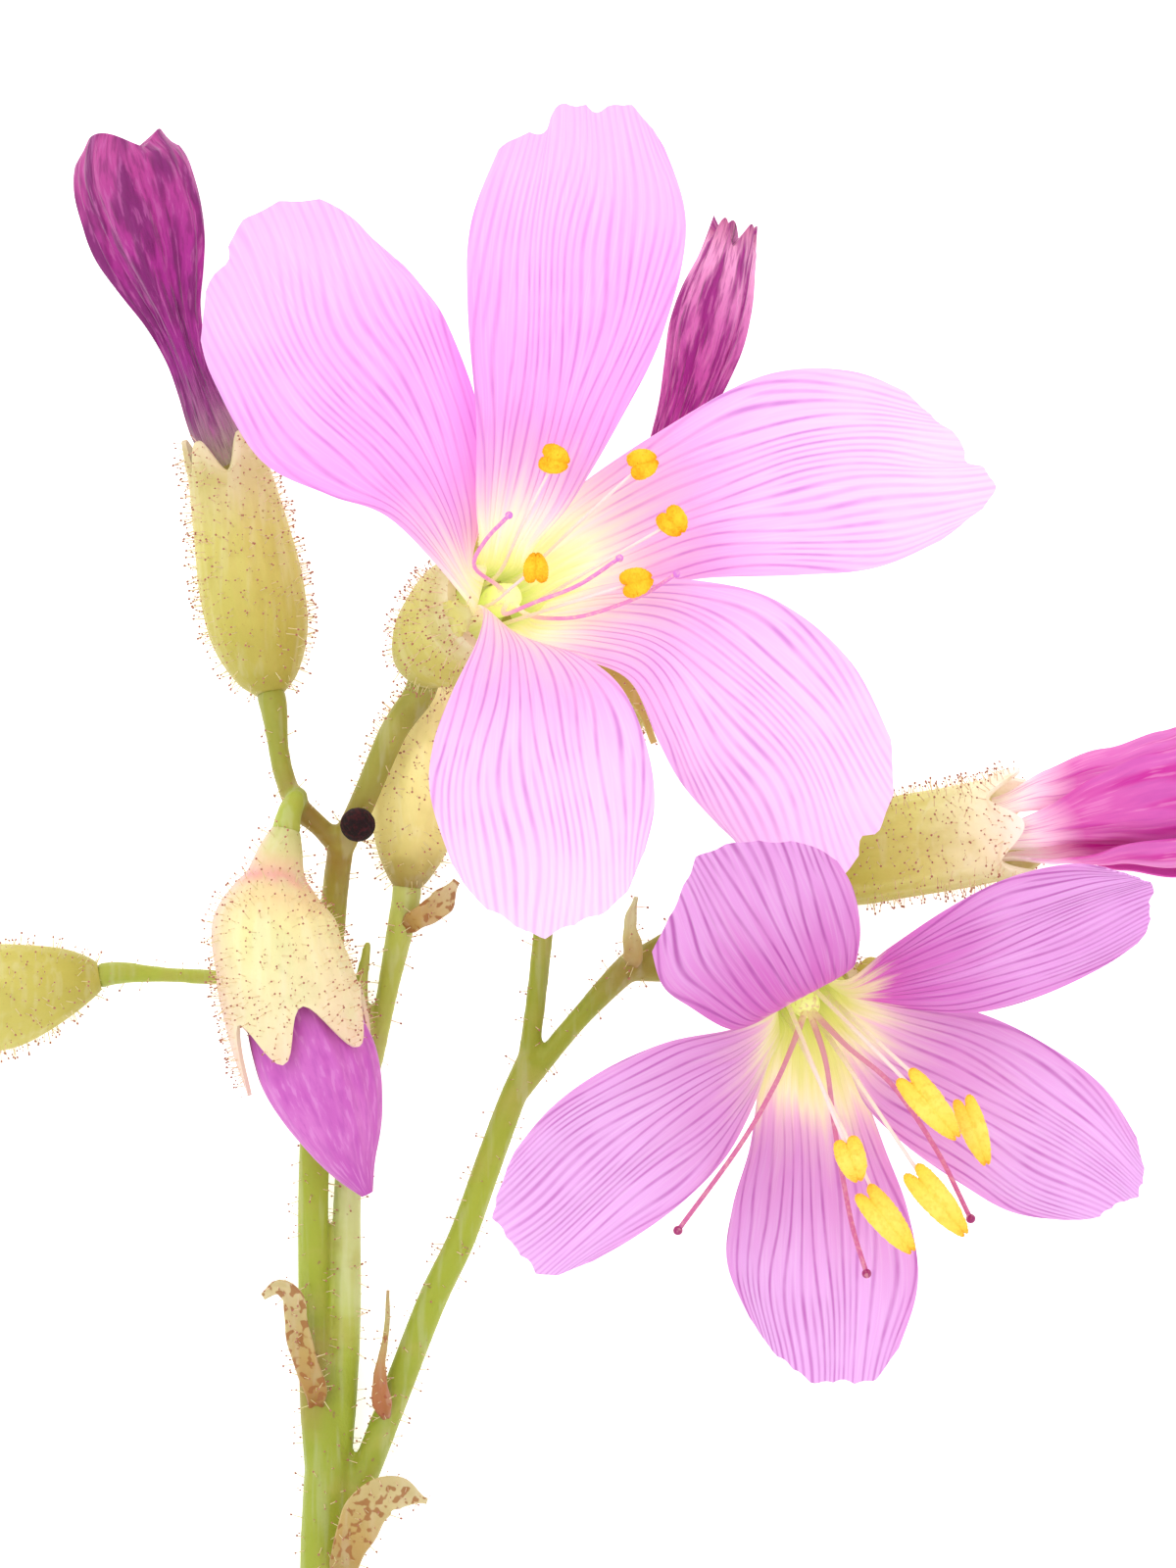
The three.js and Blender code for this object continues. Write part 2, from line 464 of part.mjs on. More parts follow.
// Stalk: main stem, upper stems, right branch, and a pedicel to each bloom, grown as one
function stalk() {
  const stems = [
    rod([[20.8, -21.9, 1.6], [20.7, -11.2, 1.6], [20.6, 0, 1.7], [20.8, 6.2, 1.8], [20.7, 13.2, 1.9]],
      [STALK_RADIUS, STALK_RADIUS, STALK_RADIUS, 1.55, 0.8], { steps: 12, sides: 10 }),
    rod([[20.5, 4.0, 1.8], [20.0, 10.5, 2.0], [19.9, 16.9, 2.1], [19.9, 24.1, 2.3], [20.2, 31.2, 2.5],
      [20.8, 37.5, 2.9], [21.3, 43.0, 3.8], [21.7, 46.1, 4.9]],
    [UPPER_STEM_RADIUS, UPPER_STEM_RADIUS, UPPER_STEM_RADIUS, 0.9, 0.85], { steps: 14 }),
    rod([[21.1, 4.0, 1.7], [21.7, 10.5, 1.7], [22.0, 16.9, 1.6], [22.1, 24.1, 1.5], [22.6, 28.8, 1.5],
      [23.8, 32.5, 1.7], [24.8, 37.5, 2.1], ...seatOf("hidden")],
    [UPPER_STEM_RADIUS, UPPER_STEM_RADIUS, 0.9, 0.62, 0.95], { steps: 14 }),
    rod([[21.2, 1.9, 1.8], [23.0, 5.4, 1.9], [24.5, 9.2, 2.0], [25.35, 11.4, 2.1], [27.5, 16.9, 2.4],
      [29.4, 20.9, 2.6], [31.2, 25.9, 2.8], [32.6, 29.7, 2.9], [33.8, 32.4, 3.0]],
    [BRANCH_RADIUS, BRANCH_RADIUS, BRANCH_RADIUS, 0.9, 0.85], { steps: 14 }),
  ];
  const arms = [
    rod([[23.2, 31.9, 1.7], [22.9, 36.3, 2.3], [23.4, 39.9, 2.9]], [0.6, 0.55, 0.3], { steps: 5, sides: 6 }),
    rod([[33.2, 30.4, 2.9], [35.9, 33.8, 3.0], [38.4, 36.6, 3.1], [40.4, 38.6, 3.1]],
      [PEDICEL_RADIUS, PEDICEL_RADIUS, 0.9], { steps: 6 }),
    rod([[21.7, 45.9, 4.9], [20.1, 47.5, 5.4], [18.7, 48.6, 5.8]], [0.75, PEDICEL_RADIUS, 0.8], { steps: 4 }),
  ];
  const pedicels = [
    rod([[33.4, 30.6, 2.9], [34.1, 35.6, 2.9], [34.6, 40.2, 2.7], [35.1, 45.0, 2.7],
      ...seatOf("spent_right")],
    [PEDICEL_RADIUS, 0.66, PEDICEL_RADIUS, PEDICEL_HEAD_RADIUS]),
    rod([[39.9, 38.2, 3.1], [43.1, 40.2, 2.5], [45.6, 42.0, 2.2], [46.8, 42.1, 2.8], ...seatOf("flower_2")],
      [0.8, PEDICEL_RADIUS, PEDICEL_HEAD_RADIUS], { steps: 7 }),
    rod([[39.9, 38.2, 3.1], [43.2, 38.0, 1.9], [46.4, 38.4, 1.3], [48.4, 40.6, 1.7], ...seatOf("flower_3")],
      [0.8, PEDICEL_RADIUS, PEDICEL_RADIUS, PEDICEL_HEAD_RADIUS], { steps: 9 }),
    rod([[21.6, 45.7, 4.9], [22.9, 48.4, 5.8], [24.1, 51.2, 6.6], [25.2, 53.6, 7.1], ...seatOf("flower_1")],
      [0.85, 0.85, 0.9, 1.05], { steps: 8 }),
    rod([[18.9, 48.1, 5.8], [17.9, 51.2, 5.5], ...seatOf("spent_left")],
      [PEDICEL_RADIUS, PEDICEL_RADIUS, 0.95], { steps: 6 }),
    rod([[18.7, 48.6, 5.3], [18.95, 49.2, 6.3], ...seatOf("nodding")],
      [0.8, 0.95, PEDICEL_HEAD_RADIUS], { steps: 5 }),
    rod([[20.6, 36.8, 2.9], [17.5, 37.3, 2.0], [13.6, 37.6, 2.2], [10.0, 37.8, 2.6], ...seatOf("far_left")],
      [THIN_PEDICEL_RADIUS, THIN_PEDICEL_RADIUS, THIN_PEDICEL_RADIUS, 0.8], { steps: 8, sides: 6 }),
  ];
  return restingOnTable(fused([...stems, ...arms, ...pedicels]));
}

// Calyces
const closedCalyx = (line) => turned(line, [
  [0, 0], [0.8, 0], [1.4, 0.07], [2.1, 0.15], [2.85, 0.32], [3.28, 0.48], [3.1, 0.68], [2.3, 0.85],
  [0.9, 0.97], [0, 1],
], { pleats: 0.05 });

// A calyx round the foot of a withered or furled corolla: a cup whose rim is cut into five pointed lobes.
// A neck, where there is one, is a list of [radius, share] that ends where the belly starts.
function sheathCalyx(line, options) {
  const { belly, mouth, hole, flare = 0, floor = 0.72, rimFrom = 0.86, phase = 0, neck = [] } = options;
  const start = neck.length > 0 ? neck[neck.length - 1][1] : 0;
  const above = (share) => start + (1 - start) * share;
  const waist = [0.5 * (belly + mouth), rimFrom * above(0.66) / above(0.86)];
  return turned(line, [
    [0, 0], [0.95, 0], ...neck, [0.62 * belly, above(0.07)], [0.93 * belly, above(0.22)],
    [belly, above(0.42)], waist, [mouth, rimFrom], [mouth + flare, 1],
    [hole + flare, 1], [hole, rimFrom], [hole, floor], [0, floor],
  ], { rimFrom, phase });
}

// Sepals start at the first of these places, each a radius and a depth, and run through the others.
const SEPAL_ROOT = [3.62, 5.1];
const SEPAL_RUN = [[4.6, 3.9], [6.3, 3.0], [8.6, 2.2]];
const SEPAL_HALF_WIDTHS = [1.1, 1.3, 1.05, 0.32];
const SHOWN_SEPAL_HALF_WIDTHS = [0.4, 0.5, 0.45, 0.32];
const BELL_FLOOR_DEPTH = 7.05;

// The calyx of an open flower: a bell, and five sepals that lie behind the gaps between the petals.
function bellCalyx(line, { at, sepals }) {
  const floor = 1 - (BELL_FLOOR_DEPTH - BELL_MOUTH_DEPTH) / curveThrough(line).getLength();
  const bell = turned(line, [
    [0, 0], [1.05, 0], [2.1, 0.1], [3.2, 0.28], [3.6, 0.5], [3.92, 0.8], [3.92, 1], [3.32, 1], [3.32, floor],
    [0, floor],
  ]);
  const flat = { steps: 6, across: 2, cup: 0 };
  const plain = sepals.plain.map((angle) => strap(
    [at(angle, ...SEPAL_ROOT), ...SEPAL_RUN.map((place) => at(angle, ...place))], SEPAL_HALF_WIDTHS, flat
  ));
  const shown = strap(
    [at(sepals.shown.angle, ...SEPAL_ROOT), ...sepals.shown.points], SHOWN_SEPAL_HALF_WIDTHS, flat
  );
  return fused([bell, ...plain, shown]);
}

const RECEPTACLE_DEPTHS = [6.7, 6.1];
const FILAMENT_ROOT_DEPTH = 6.4;
const FILAMENT_COLLAR_DEPTH = 2.8;

// Receptacle with its five filaments, each ending one seam short of its anther
function heart({ at, anthers }) {
  const disc = turned(
    RECEPTACLE_DEPTHS.map((depth) => at(0, 0, depth)),
    [[0, 0], [RECEPTACLE_RADIUS, 0], [RECEPTACLE_RADIUS, 1], [0, 1]]
  );
  const filaments = anthers.map(({ angle, centre, along: run, radius, rise = 0.08 }) => {
    const collar = vector(at(angle, FILAMENT_CIRCLE, FILAMENT_COLLAR_DEPTH));
    const head = vector(centre);
    const way = collar.clone().sub(head);
    const reach = way.length();
    way.normalize();
    const clearance = SEAM + Math.max(Math.abs(vector(run).dot(way)) + 0.4 * radius, 1.3 * radius);
    const end = head.clone().addScaledVector(way, clearance);
    const middle = collar.clone().lerp(end, 0.45).add(new THREE.Vector3(0, 0, rise * reach));
    const root = at(angle, FILAMENT_CIRCLE - 0.1, FILAMENT_ROOT_DEPTH);
    return rod([root, collar.toArray(), middle.toArray(), end.toArray()],
      [FILAMENT_RADIUS, FILAMENT_RADIUS], { steps: 6, sides: THREAD_SIDES });
  });
  return fused([disc, ...filaments]);
}

const OVARY_DEPTHS = [5.8, 2.6];
const STYLE_ROOT_DEPTH = 3.2;

// Ovary with its three styles
function pistil({ at, styles }) {
  const ovary = turned(
    OVARY_DEPTHS.map((depth) => at(0, 0, depth)),
    [[0, 0], [0.7, 0], [OVARY_RADIUS, 0.3], [OVARY_RADIUS, 0.65], [0.7, 0.93], [0, 1]],
    { sides: 10 }
  );
  const threads = styles.map((points) => rod(
    [at(0, 0, STYLE_ROOT_DEPTH), ...points], [STYLE_RADIUS, STYLE_RADIUS, STYLE_RADIUS, STIGMA_RADIUS],
    { sides: THREAD_SIDES }
  ));
  return fused([ovary, ...threads]);
}

const ANTHER_PROFILE = [[0, 0], [0.6, 0.1], [0.8, 0.35], [0.7, 0.68], [0.35, 0.93], [0, 1]];

// An anther: two pollen sacs side by side
function anther({ centre, along: half, radius }) {
  const run = vector(half);
  const reach = run.clone().addScaledVector(run, 0.4 * radius / run.length());
  const side = new THREE.Vector3(-run.y, run.x, 0).normalize().multiplyScalar(0.5 * radius);
  const sac = (offset) => {
    const middle = vector(centre).add(offset);
    return turned(
      [middle.clone().sub(reach).toArray(), middle.clone().add(reach).toArray()],
      ANTHER_PROFILE.map(([share, t]) => [share * radius, t]),
      { sides: 6 }
    );
  };
  return fused([sac(side), sac(side.clone().negate())]);
}

// Corollas of spent and furled flowers
const DIMPLE_SHARE = 0.92;

// Each is a pleated tube that ends in the tips of its folded petals, with a dimple between them.
const foldedCorolla = (line, radii, options) => turned(line, [
  [0, 0], ...radii.map((radius, i) => [radius, i / (radii.length - 1)]), [0, DIMPLE_SHARE],
], { rimFrom: DIMPLE_SHARE, sides: 15, pleats: 0.14, ...options });

const FUNNEL_LINE = [[63.8, 47.1, 4.5], [69.5, 48.1, 5.4], [75.0, 48.8, 6.4], [82.0, 49.8, 7.5]];
const FUNNEL_RADII = [1.6, 2.0, 2.9, 3.8, 4.5, 5.0];
const FUNNEL_SPREAD = [50, 124];
const FUNNEL_OVERLAP = [0.3, 2.0];

// The half-open funnel of the side-on flower: each petal's left edge lies outside its neighbour's right edge.
function funnelPetal(order) {
  const line = curveThrough(FUNNEL_LINE);
  const up = new THREE.Vector3(0, 0, 1);
  return blade((u, v) => {
    const w = 2 * v - 1;
    const share = u * (1 - 0.16 * w * w);
    const spread = along(FUNNEL_SPREAD, 1.4 * u);
    const overlap = along(FUNNEL_OVERLAP, 2.2 * u);
    const angle = order * LOBE_ANGLE + 0.5 * w * THREE.MathUtils.degToRad(spread);
    const radius = along(FUNNEL_RADII, share) + 0.5 * w * overlap;
    const tangent = line.getTangentAt(share);
    const side = new THREE.Vector3().crossVectors(tangent, up).normalize();
    const lift = new THREE.Vector3().crossVectors(side, tangent);
    return line.getPointAt(share).addScaledVector(side, radius * Math.cos(angle))
      .addScaledVector(lift, radius * Math.sin(angle));
  }, { across: 6, lengthwise: 8 });
}

// Bracts
const BRACTS = {
  bract_low_left: {
    line: [[20.0, 11.4, 3.9], [19.2, 13.7, 4.4], [18.8, 15.8, 4.7], [18.6, 17.2, 4.9], [17.7, 17.8, 4.8],
      [16.7, 17.2, 4.5]],
    halfWidths: [0.7, 0.75, 0.75, 0.6, 0.4],
  },
  bract_spike: {
    line: [[24.3, 10.4, 3.6], [24.2, 12.5, 3.8], [24.6, 15.0, 3.9], [24.7, 17.6, 3.9]],
    halfWidths: [0.45, 0.5, 0.31, 0.31],
  },
  bract_axil: {
    line: [[22.0, 0.4, 4.0], [23.0, 2.9, 4.4], [24.2, 4.4, 4.7], [25.6, 4.6, 4.8], [27.2, 4.1, 4.5]],
    halfWidths: [0.8, 1.25, 1.35, 1.0, 0.35],
  },
  bract_fork: {
    line: [[40.4, 39.2, 4.7], [40.2, 41.1, 4.8], [40.6, 42.8, 4.8]],
    halfWidths: [0.7, 0.5, 0.31],
  },
  bract_hidden: {
    line: [[26.6, 41.4, 4.3], [27.9, 42.2, 4.1], [29.1, 43.8, 4.1]],
    halfWidths: [0.6, 0.8, 0.4],
  },
};

// Naming and placing
const group = new THREE.Group();
group.position.set(-SHEET_CENTRE.x, -SHEET_CENTRE.y, 0);

function add(name, geometry, material) {
  const piece = new THREE.Mesh(geometry, material);
  piece.name = name;
  group.add(piece);
}

function addOpenFlower(name, flower, petalSkin) {
  add(`${name}_calyx`, bellCalyx(CALYX_LINES[name], flower), calyxSkin());
  Object.entries(flower.petals).forEach(([place, petal]) => {
    add(`${name}_petal_${place}`, flowerPetal(flower.at, petal), petalSkin());
  });
  add(`${name}_heart`, heart(flower), filamentSkin());
  add(`${name}_pistil`, pistil(flower), pistilSkin());
  flower.anthers.forEach((one, i) => add(`${name}_anther_${i + 1}`, anther(one), antherSkin()));
}

function addSheathCalyx(bloom, node, options) {
  add(node, restingOnTable(sheathCalyx(CALYX_LINES[bloom], options)), calyxSkin());
}

function addSideFlower() {
  addSheathCalyx("flower_3", "flower_3_calyx", { belly: 3.2, mouth: 3.3, hole: 2.8, flare: 0.9, floor: 0.8 });
  for (let order = 0; order < LOBES; order += 1) {
    add(`flower_3_petal_${order + 1}`, funnelPetal(order), mauvePetalSkin());
  }
}

// The withered corolla at the left folds to one side, and its tips stand at uneven heights.
const LEFT_COROLLA = {
  line: [[14.5, 70.6, 3.7], [13.0, 74.1, 4.2], [11.6, 78.1, 4.2], [10.4, 81.9, 4.2], [9.3, 85.9, 4.2],
    [8.2, 89.7, 4.4], [7.8, 92.0, 4.6]],
  radii: [1.4, 1.5, 1.25, 1.25, 1.7, 2.6, 3.4, 3.7, 3.6, 2.5],
  folds: { twist: 2.2, squash: 0.75, tips: [[-40, 95, 1], [62, 50, 0.8]] },
};
const RIGHT_COROLLA = {
  line: [[40.7, 64.2, 3.2], [42.0, 68.8, 3.3], [43.2, 72.5, 3.3], [44.4, 76.2, 3.2], [45.4, 80.0, 3.1],
    [46.4, 83.6, 3.0], [47.0, 86.1, 3.0]],
  radii: [1.2, 1.35, 1.3, 1.35, 1.5, 1.9, 2.25, 2.2, 1.8, 1.5],
  folds: { twist: 1.6, squash: 0.8, phase: 0.5 },
};

function addSpentFlowers() {
  addSheathCalyx("spent_left", "spent_left_calyx", {
    belly: 3.3, mouth: 2.6, hole: 2.05, phase: 0.5 * LOBE_ANGLE,
  });
  addSheathCalyx("spent_right", "spent_right_calyx", { belly: 3.2, mouth: 2.5, hole: 1.95 });
  Object.entries({ spent_left: LEFT_COROLLA, spent_right: RIGHT_COROLLA }).forEach(([bloom, corolla]) => {
    add(`${bloom}_corolla`, foldedCorolla(corolla.line, corolla.radii, corolla.folds), witheredSkin());
  });
}

const FURLED_LINE = [
  [17.9, 38.7, 8.4], [18.9, 35.6, 8.3], [20.2, 32.1, 8.1], [21.4, 28.8, 7.9], [22.4, 25.9, 7.6],
  [23.4, 23.8, 7.4],
];
const FURLED_RADII = [2.6, 3.1, 3.4, 3.65, 3.75, 3.5, 3.0, 2.3, 1.4, 0.4];

function addBuds() {
  addSheathCalyx("nodding", "nodding_bud_calyx", {
    belly: 4.1, mouth: 4.4, hole: 3.9, flare: 0.3, floor: 0.46, rimFrom: 0.7, phase: -0.26,
    neck: [[1.35, 0.07], [1.85, 0.18]],
  });
  const furled = foldedCorolla(FURLED_LINE, FURLED_RADII, { twist: 1.2, pleats: 0.05 });
  add("nodding_bud_corolla", furled, mauvePetalSkin());
  add("far_left_bud_calyx", restingOnTable(closedCalyx(CALYX_LINES.far_left)), calyxSkin());
  add("hidden_bud_calyx", restingOnTable(closedCalyx(CALYX_LINES.hidden)), calyxSkin());
}

const BEAD_CENTRE = [22.8, 47.4, 7.9];

function addBead() {
  const bead = new THREE.IcosahedronGeometry(BEAD_RADIUS, 1);
  bead.translate(...BEAD_CENTRE);
  add("joint_bead", geometryOf(solid(bead)), beadSkin());
}

function addBracts() {
  Object.entries(BRACTS).forEach(([name, { line, halfWidths }]) => {
    add(name, strap(line, halfWidths), bractSkin());
  });
}

add("flower_stalk", stalk(), stemSkin());
addBracts();
addOpenFlower("flower_1", FLOWER_1, palePetalSkin);
addOpenFlower("flower_2", FLOWER_2, mauvePetalSkin);
addSideFlower();
addSpentFlowers();
addBuds();
addBead();

export default group;
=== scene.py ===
"""King sundew flower spray lying on its back, in metres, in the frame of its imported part.

Points are given in millimetres on a sheet: x runs right from the left edge of the picture window, y runs
up the spray and z is the height above the surface that it lies on. The part is drawn from the same points.
"""

from __future__ import annotations

import logging
import math
from collections.abc import Callable, Sequence
from dataclasses import dataclass, field
from enum import Enum

import bpy
import numpy as np
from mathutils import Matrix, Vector


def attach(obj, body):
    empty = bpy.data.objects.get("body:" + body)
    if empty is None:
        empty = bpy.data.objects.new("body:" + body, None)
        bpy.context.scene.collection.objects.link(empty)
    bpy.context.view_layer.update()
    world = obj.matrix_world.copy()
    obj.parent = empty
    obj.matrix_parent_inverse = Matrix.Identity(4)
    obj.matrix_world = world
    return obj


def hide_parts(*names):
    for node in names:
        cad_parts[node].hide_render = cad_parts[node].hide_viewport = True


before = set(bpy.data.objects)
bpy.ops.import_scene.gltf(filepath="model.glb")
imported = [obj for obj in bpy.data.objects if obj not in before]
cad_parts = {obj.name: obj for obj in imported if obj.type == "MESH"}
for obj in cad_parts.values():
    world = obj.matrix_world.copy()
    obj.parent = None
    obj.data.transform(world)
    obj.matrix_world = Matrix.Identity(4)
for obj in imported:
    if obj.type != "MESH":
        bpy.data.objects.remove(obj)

logging.basicConfig(level=logging.INFO, format="%(message)s")
LOG = logging.getLogger("spray")

Point = tuple[float, float, float]
Profile = Sequence[tuple[float, float]]
Surface = Callable[[np.ndarray, np.ndarray], np.ndarray]
Span = tuple[float, float]
Stops = tuple[tuple[float, str], ...]
Links = dict[str | int, object]

MM = 0.001
SHEET_CENTRE = np.array([38.01, 35.67, 0.0])
LOBES = 5
WHITE = "#ffffff"

# how finely lines and profiles are sampled, and which edges stay sharp
CURVE_STEPS = 480
TANGENT_STEP = 0.004
ROWS_PER_POINT = 12
WALL_ROWS = 7
LEAST_RADIUS = 0.02
CREASE_DEGREES = 50

# thin blades: the length that counts as 1 in their marks, and how they thin out at the edge
PETAL_SCALE_MM = 30.0
EDGE_THINNING = 0.6
EDGE_POWER = 8


# Lines and shapes


def smooth(t: np.ndarray) -> np.ndarray:
    """Eases shares from 0 to 1."""
    return t * t * (3 - 2 * t)


def along(values: Sequence[float], share: np.ndarray) -> np.ndarray:
    """Reads values that stand at even stations, eased between them.

    Args:
        values: One value a station.
        share: Where to read, from 0 to 1.

    Returns:
        The value at each share.
    """
    stations = np.asarray(values, float)
    place = np.clip(share, 0, 1) * (len(stations) - 1)
    index = np.minimum(place.astype(int), len(stations) - 2)
    return stations[index] + (stations[index + 1] - stations[index]) * smooth(place - index)


class Curve:
    """A smooth line through points, in as many dimensions as they have."""

    def __init__(self, points: Sequence[Sequence[float]]) -> None:
        """Samples the line finely.

        Args:
            points: The points that it passes through.
        """
        given = np.asarray(points, float)
        padded = np.vstack([2 * given[0] - given[1], given, 2 * given[-1] - given[-2]])
        t = np.linspace(0, len(given) - 1, CURVE_STEPS + 1)
        index = np.minimum(t.astype(int), len(given) - 2)
        w = (t - index)[:, None]
        a, b, c, d = (padded[index + k] for k in range(4))
        self.line = 0.5 * (
            2 * b + (c - a) * w + (2 * a - 5 * b + 4 * c - d) * w**2 + (3 * b - a - 3 * c + d) * w**3
        )
        steps = np.linalg.norm(np.diff(self.line, axis=0), axis=1)
        self.length = float(steps.sum())
        self.shares = np.concatenate([[0.0], np.cumsum(steps)]) / self.length

    def at(self, share: np.ndarray) -> np.ndarray:
        """Reads one point for each share of the length."""
        return np.stack([np.interp(share, self.shares, axis) for axis in self.line.T], axis=-1)

    def by_station(self, t: np.ndarray) -> np.ndarray:
        """Reads points by station, 0 at the first and 1 at the last, whatever the length between them."""
        even = np.linspace(0, 1, len(self.line))
        return np.stack([np.interp(t, even, axis) for axis in self.line.T], axis=-1)

    def tangent(self, share: np.ndarray) -> np.ndarray:
        """Reads directions by share of length.

        Args:
            share: Shares of the length.

        Returns:
            One unit vector a share.
        """
        before, after = np.clip(share - TANGENT_STEP, 0, 1), np.clip(share + TANGENT_STEP, 0, 1)
        way = self.at(after) - self.at(before)
        return way / np.linalg.norm(way, axis=-1, keepdims=True)

    def cross_frame(self, share: np.ndarray) -> tuple[np.ndarray, np.ndarray]:
        """Gives the level direction across the line and the one that stands on it.

        Args:
            share: Shares of the length.

        Returns:
            The two unit vectors at each share.
        """
        tangent = self.tangent(share)
        side = np.cross(tangent, [0.0, 0.0, 1.0])
        side /= np.linalg.norm(side, axis=-1, keepdims=True)
        return side, np.cross(side, tangent)


@dataclass
class Shape:
    """A mesh in sheet millimetres.

    Attributes:
        points: One row a vertex.
        faces: Vertex numbers, three or four a face.
        marks: A pair (along, across) a vertex, which the finishes read.
        hairy: How thickly gland hairs grow at each vertex, from 0 to 1.
    """

    points: np.ndarray
    faces: list[tuple[int, ...]]
    marks: np.ndarray
    hairy: np.ndarray

    @classmethod
    def joined(cls, shapes: Sequence["Shape"]) -> "Shape":
        """Puts several shapes into one mesh.

        Args:
            shapes: The shapes.

        Returns:
            The mesh of them all.
        """
        faces: list[tuple[int, ...]] = []
        start = 0
        for shape in shapes:
            faces += [tuple(corner + start for corner in one) for one in shape.faces]
            start += len(shape.points)
        stack = [np.concatenate([getattr(s, name) for s in shapes]) for name in ("points", "marks", "hairy")]
        return cls(stack[0], faces, stack[1], stack[2])

    @classmethod
    def sleeve(cls, rings: np.ndarray, marks: np.ndarray, hairy: np.ndarray | None = None) -> "Shape":
        """Skins rings of points and closes both ends.

        Args:
            rings: Rows of rings, each ring a row of points.
            marks: One mark a point of the rings.
            hairy: Hair cover a point, or none.

        Returns:
            The closed mesh, facing outwards.
        """
        rows, sides, _ = rings.shape
        faces: list[tuple[int, ...]] = []
        for row in range(rows - 1):
            for k in range(sides):
                a, b = row * sides + k, row * sides + (k + 1) % sides
                faces.append((a, b, b + sides, a + sides))
        points = rings.reshape(-1, 3)
        ends = np.array([rings[0].mean(axis=0), rings[-1].mean(axis=0)])
        first, last = len(points), len(points) + 1
        faces += [(first, (k + 1) % sides, k) for k in range(sides)]
        tail = (rows - 1) * sides
        faces += [(last, tail + k, tail + (k + 1) % sides) for k in range(sides)]
        flat = marks.reshape(-1, 2)
        cover = np.zeros(len(points)) if hairy is None else hairy.reshape(-1)
        return cls(
            np.vstack([points, ends]), faces, np.vstack([flat, flat[0], flat[-1]]),
            np.concatenate([cover, [cover[0], cover[-1]]]),
        ).facing_out()

    def facing_out(self) -> "Shape":
        """Turns every face over if the closed mesh holds less than nothing.

        Returns:
            The mesh, facing outwards.
        """
        corners = [(one[0], one[i], one[i + 1]) for one in self.faces for i in range(1, len(one) - 1)]
        a, b, c = (self.points[[corner[k] for corner in corners]] for k in range(3))
        if np.einsum("ij,ij->i", a, np.cross(b, c)).sum() < 0:
            self.faces = [tuple(reversed(one)) for one in self.faces]
        return self

    def marked(self, start: float, end: float) -> "Shape":
        """Moves the marks along, so that a part takes only the stretch of its finish from start to end."""
        self.marks = self.marks * [end - start, 1] + [start, 0]
        return self

    def trimmed(self) -> "Shape":
        """Flattens whatever reaches below the surface that the spray lies on."""
        self.points[:, 2] = np.maximum(self.points[:, 2], 0)
        return self

    def made(self, name: str, material: bpy.types.Material) -> bpy.types.Object:
        """Makes the Blender object.

        Args:
            name: Its name.
            material: Its only material.

        Returns:
            The object, at the origin and untransformed.
        """
        mesh = bpy.data.meshes.new(name)
        mesh.from_pydata((self.points - SHEET_CENTRE) * MM, [], self.faces)
        corners = np.empty(len(mesh.loops), int)
        mesh.loops.foreach_get("vertex_index", corners)
        places = self.marks[corners].astype(np.float32).ravel()
        mesh.uv_layers.new(name="UVMap").data.foreach_set("uv", places)
        cover = mesh.attributes.new("hairy", "FLOAT", "POINT")
        cover.data.foreach_set("value", self.hairy.astype(np.float32))
        mesh.materials.append(material)
        mesh.shade_smooth()
        mesh.set_sharp_from_angle(angle=math.radians(CREASE_DEGREES))
        return placed(name, mesh)


def placed(name: str, data: bpy.types.ID) -> bpy.types.Object:
    """Makes an object and links it to the scene.

    Args:
        name: Its name.
        data: Its mesh, lamp or camera.

    Returns:
        The object.
    """
    thing = bpy.data.objects.new(name, data)
    bpy.context.scene.collection.objects.link(thing)
    return thing


def rod(points: Sequence[Point], radii: Sequence[float], steps: int, sides: int) -> Shape:
    """Makes a round stem along a line, hairy all over.

    Args:
        points: The line's points.
        radii: Radii at even stations.
        steps: How many rings it has.
        sides: How many points a ring has.

    Returns:
        The closed stem.
    """
    curve = Curve(points)
    share = np.linspace(0, 1, steps + 1)
    side, lift = curve.cross_frame(share)
    turn = np.linspace(0, 1, sides, endpoint=False)
    angle = (turn - 0.25) * math.tau
    radius = along(radii, share)[:, None, None]
    sideways, upwards = np.cos(angle)[None, :, None], np.sin(angle)[None, :, None]
    around = side[:, None] * sideways + lift[:, None] * upwards
    marks = np.stack(np.broadcast_arrays(share[:, None], turn[None]), axis=-1)
    return Shape.sleeve(curve.at(share)[:, None] + radius * around, marks, np.ones(marks.shape[:2]))


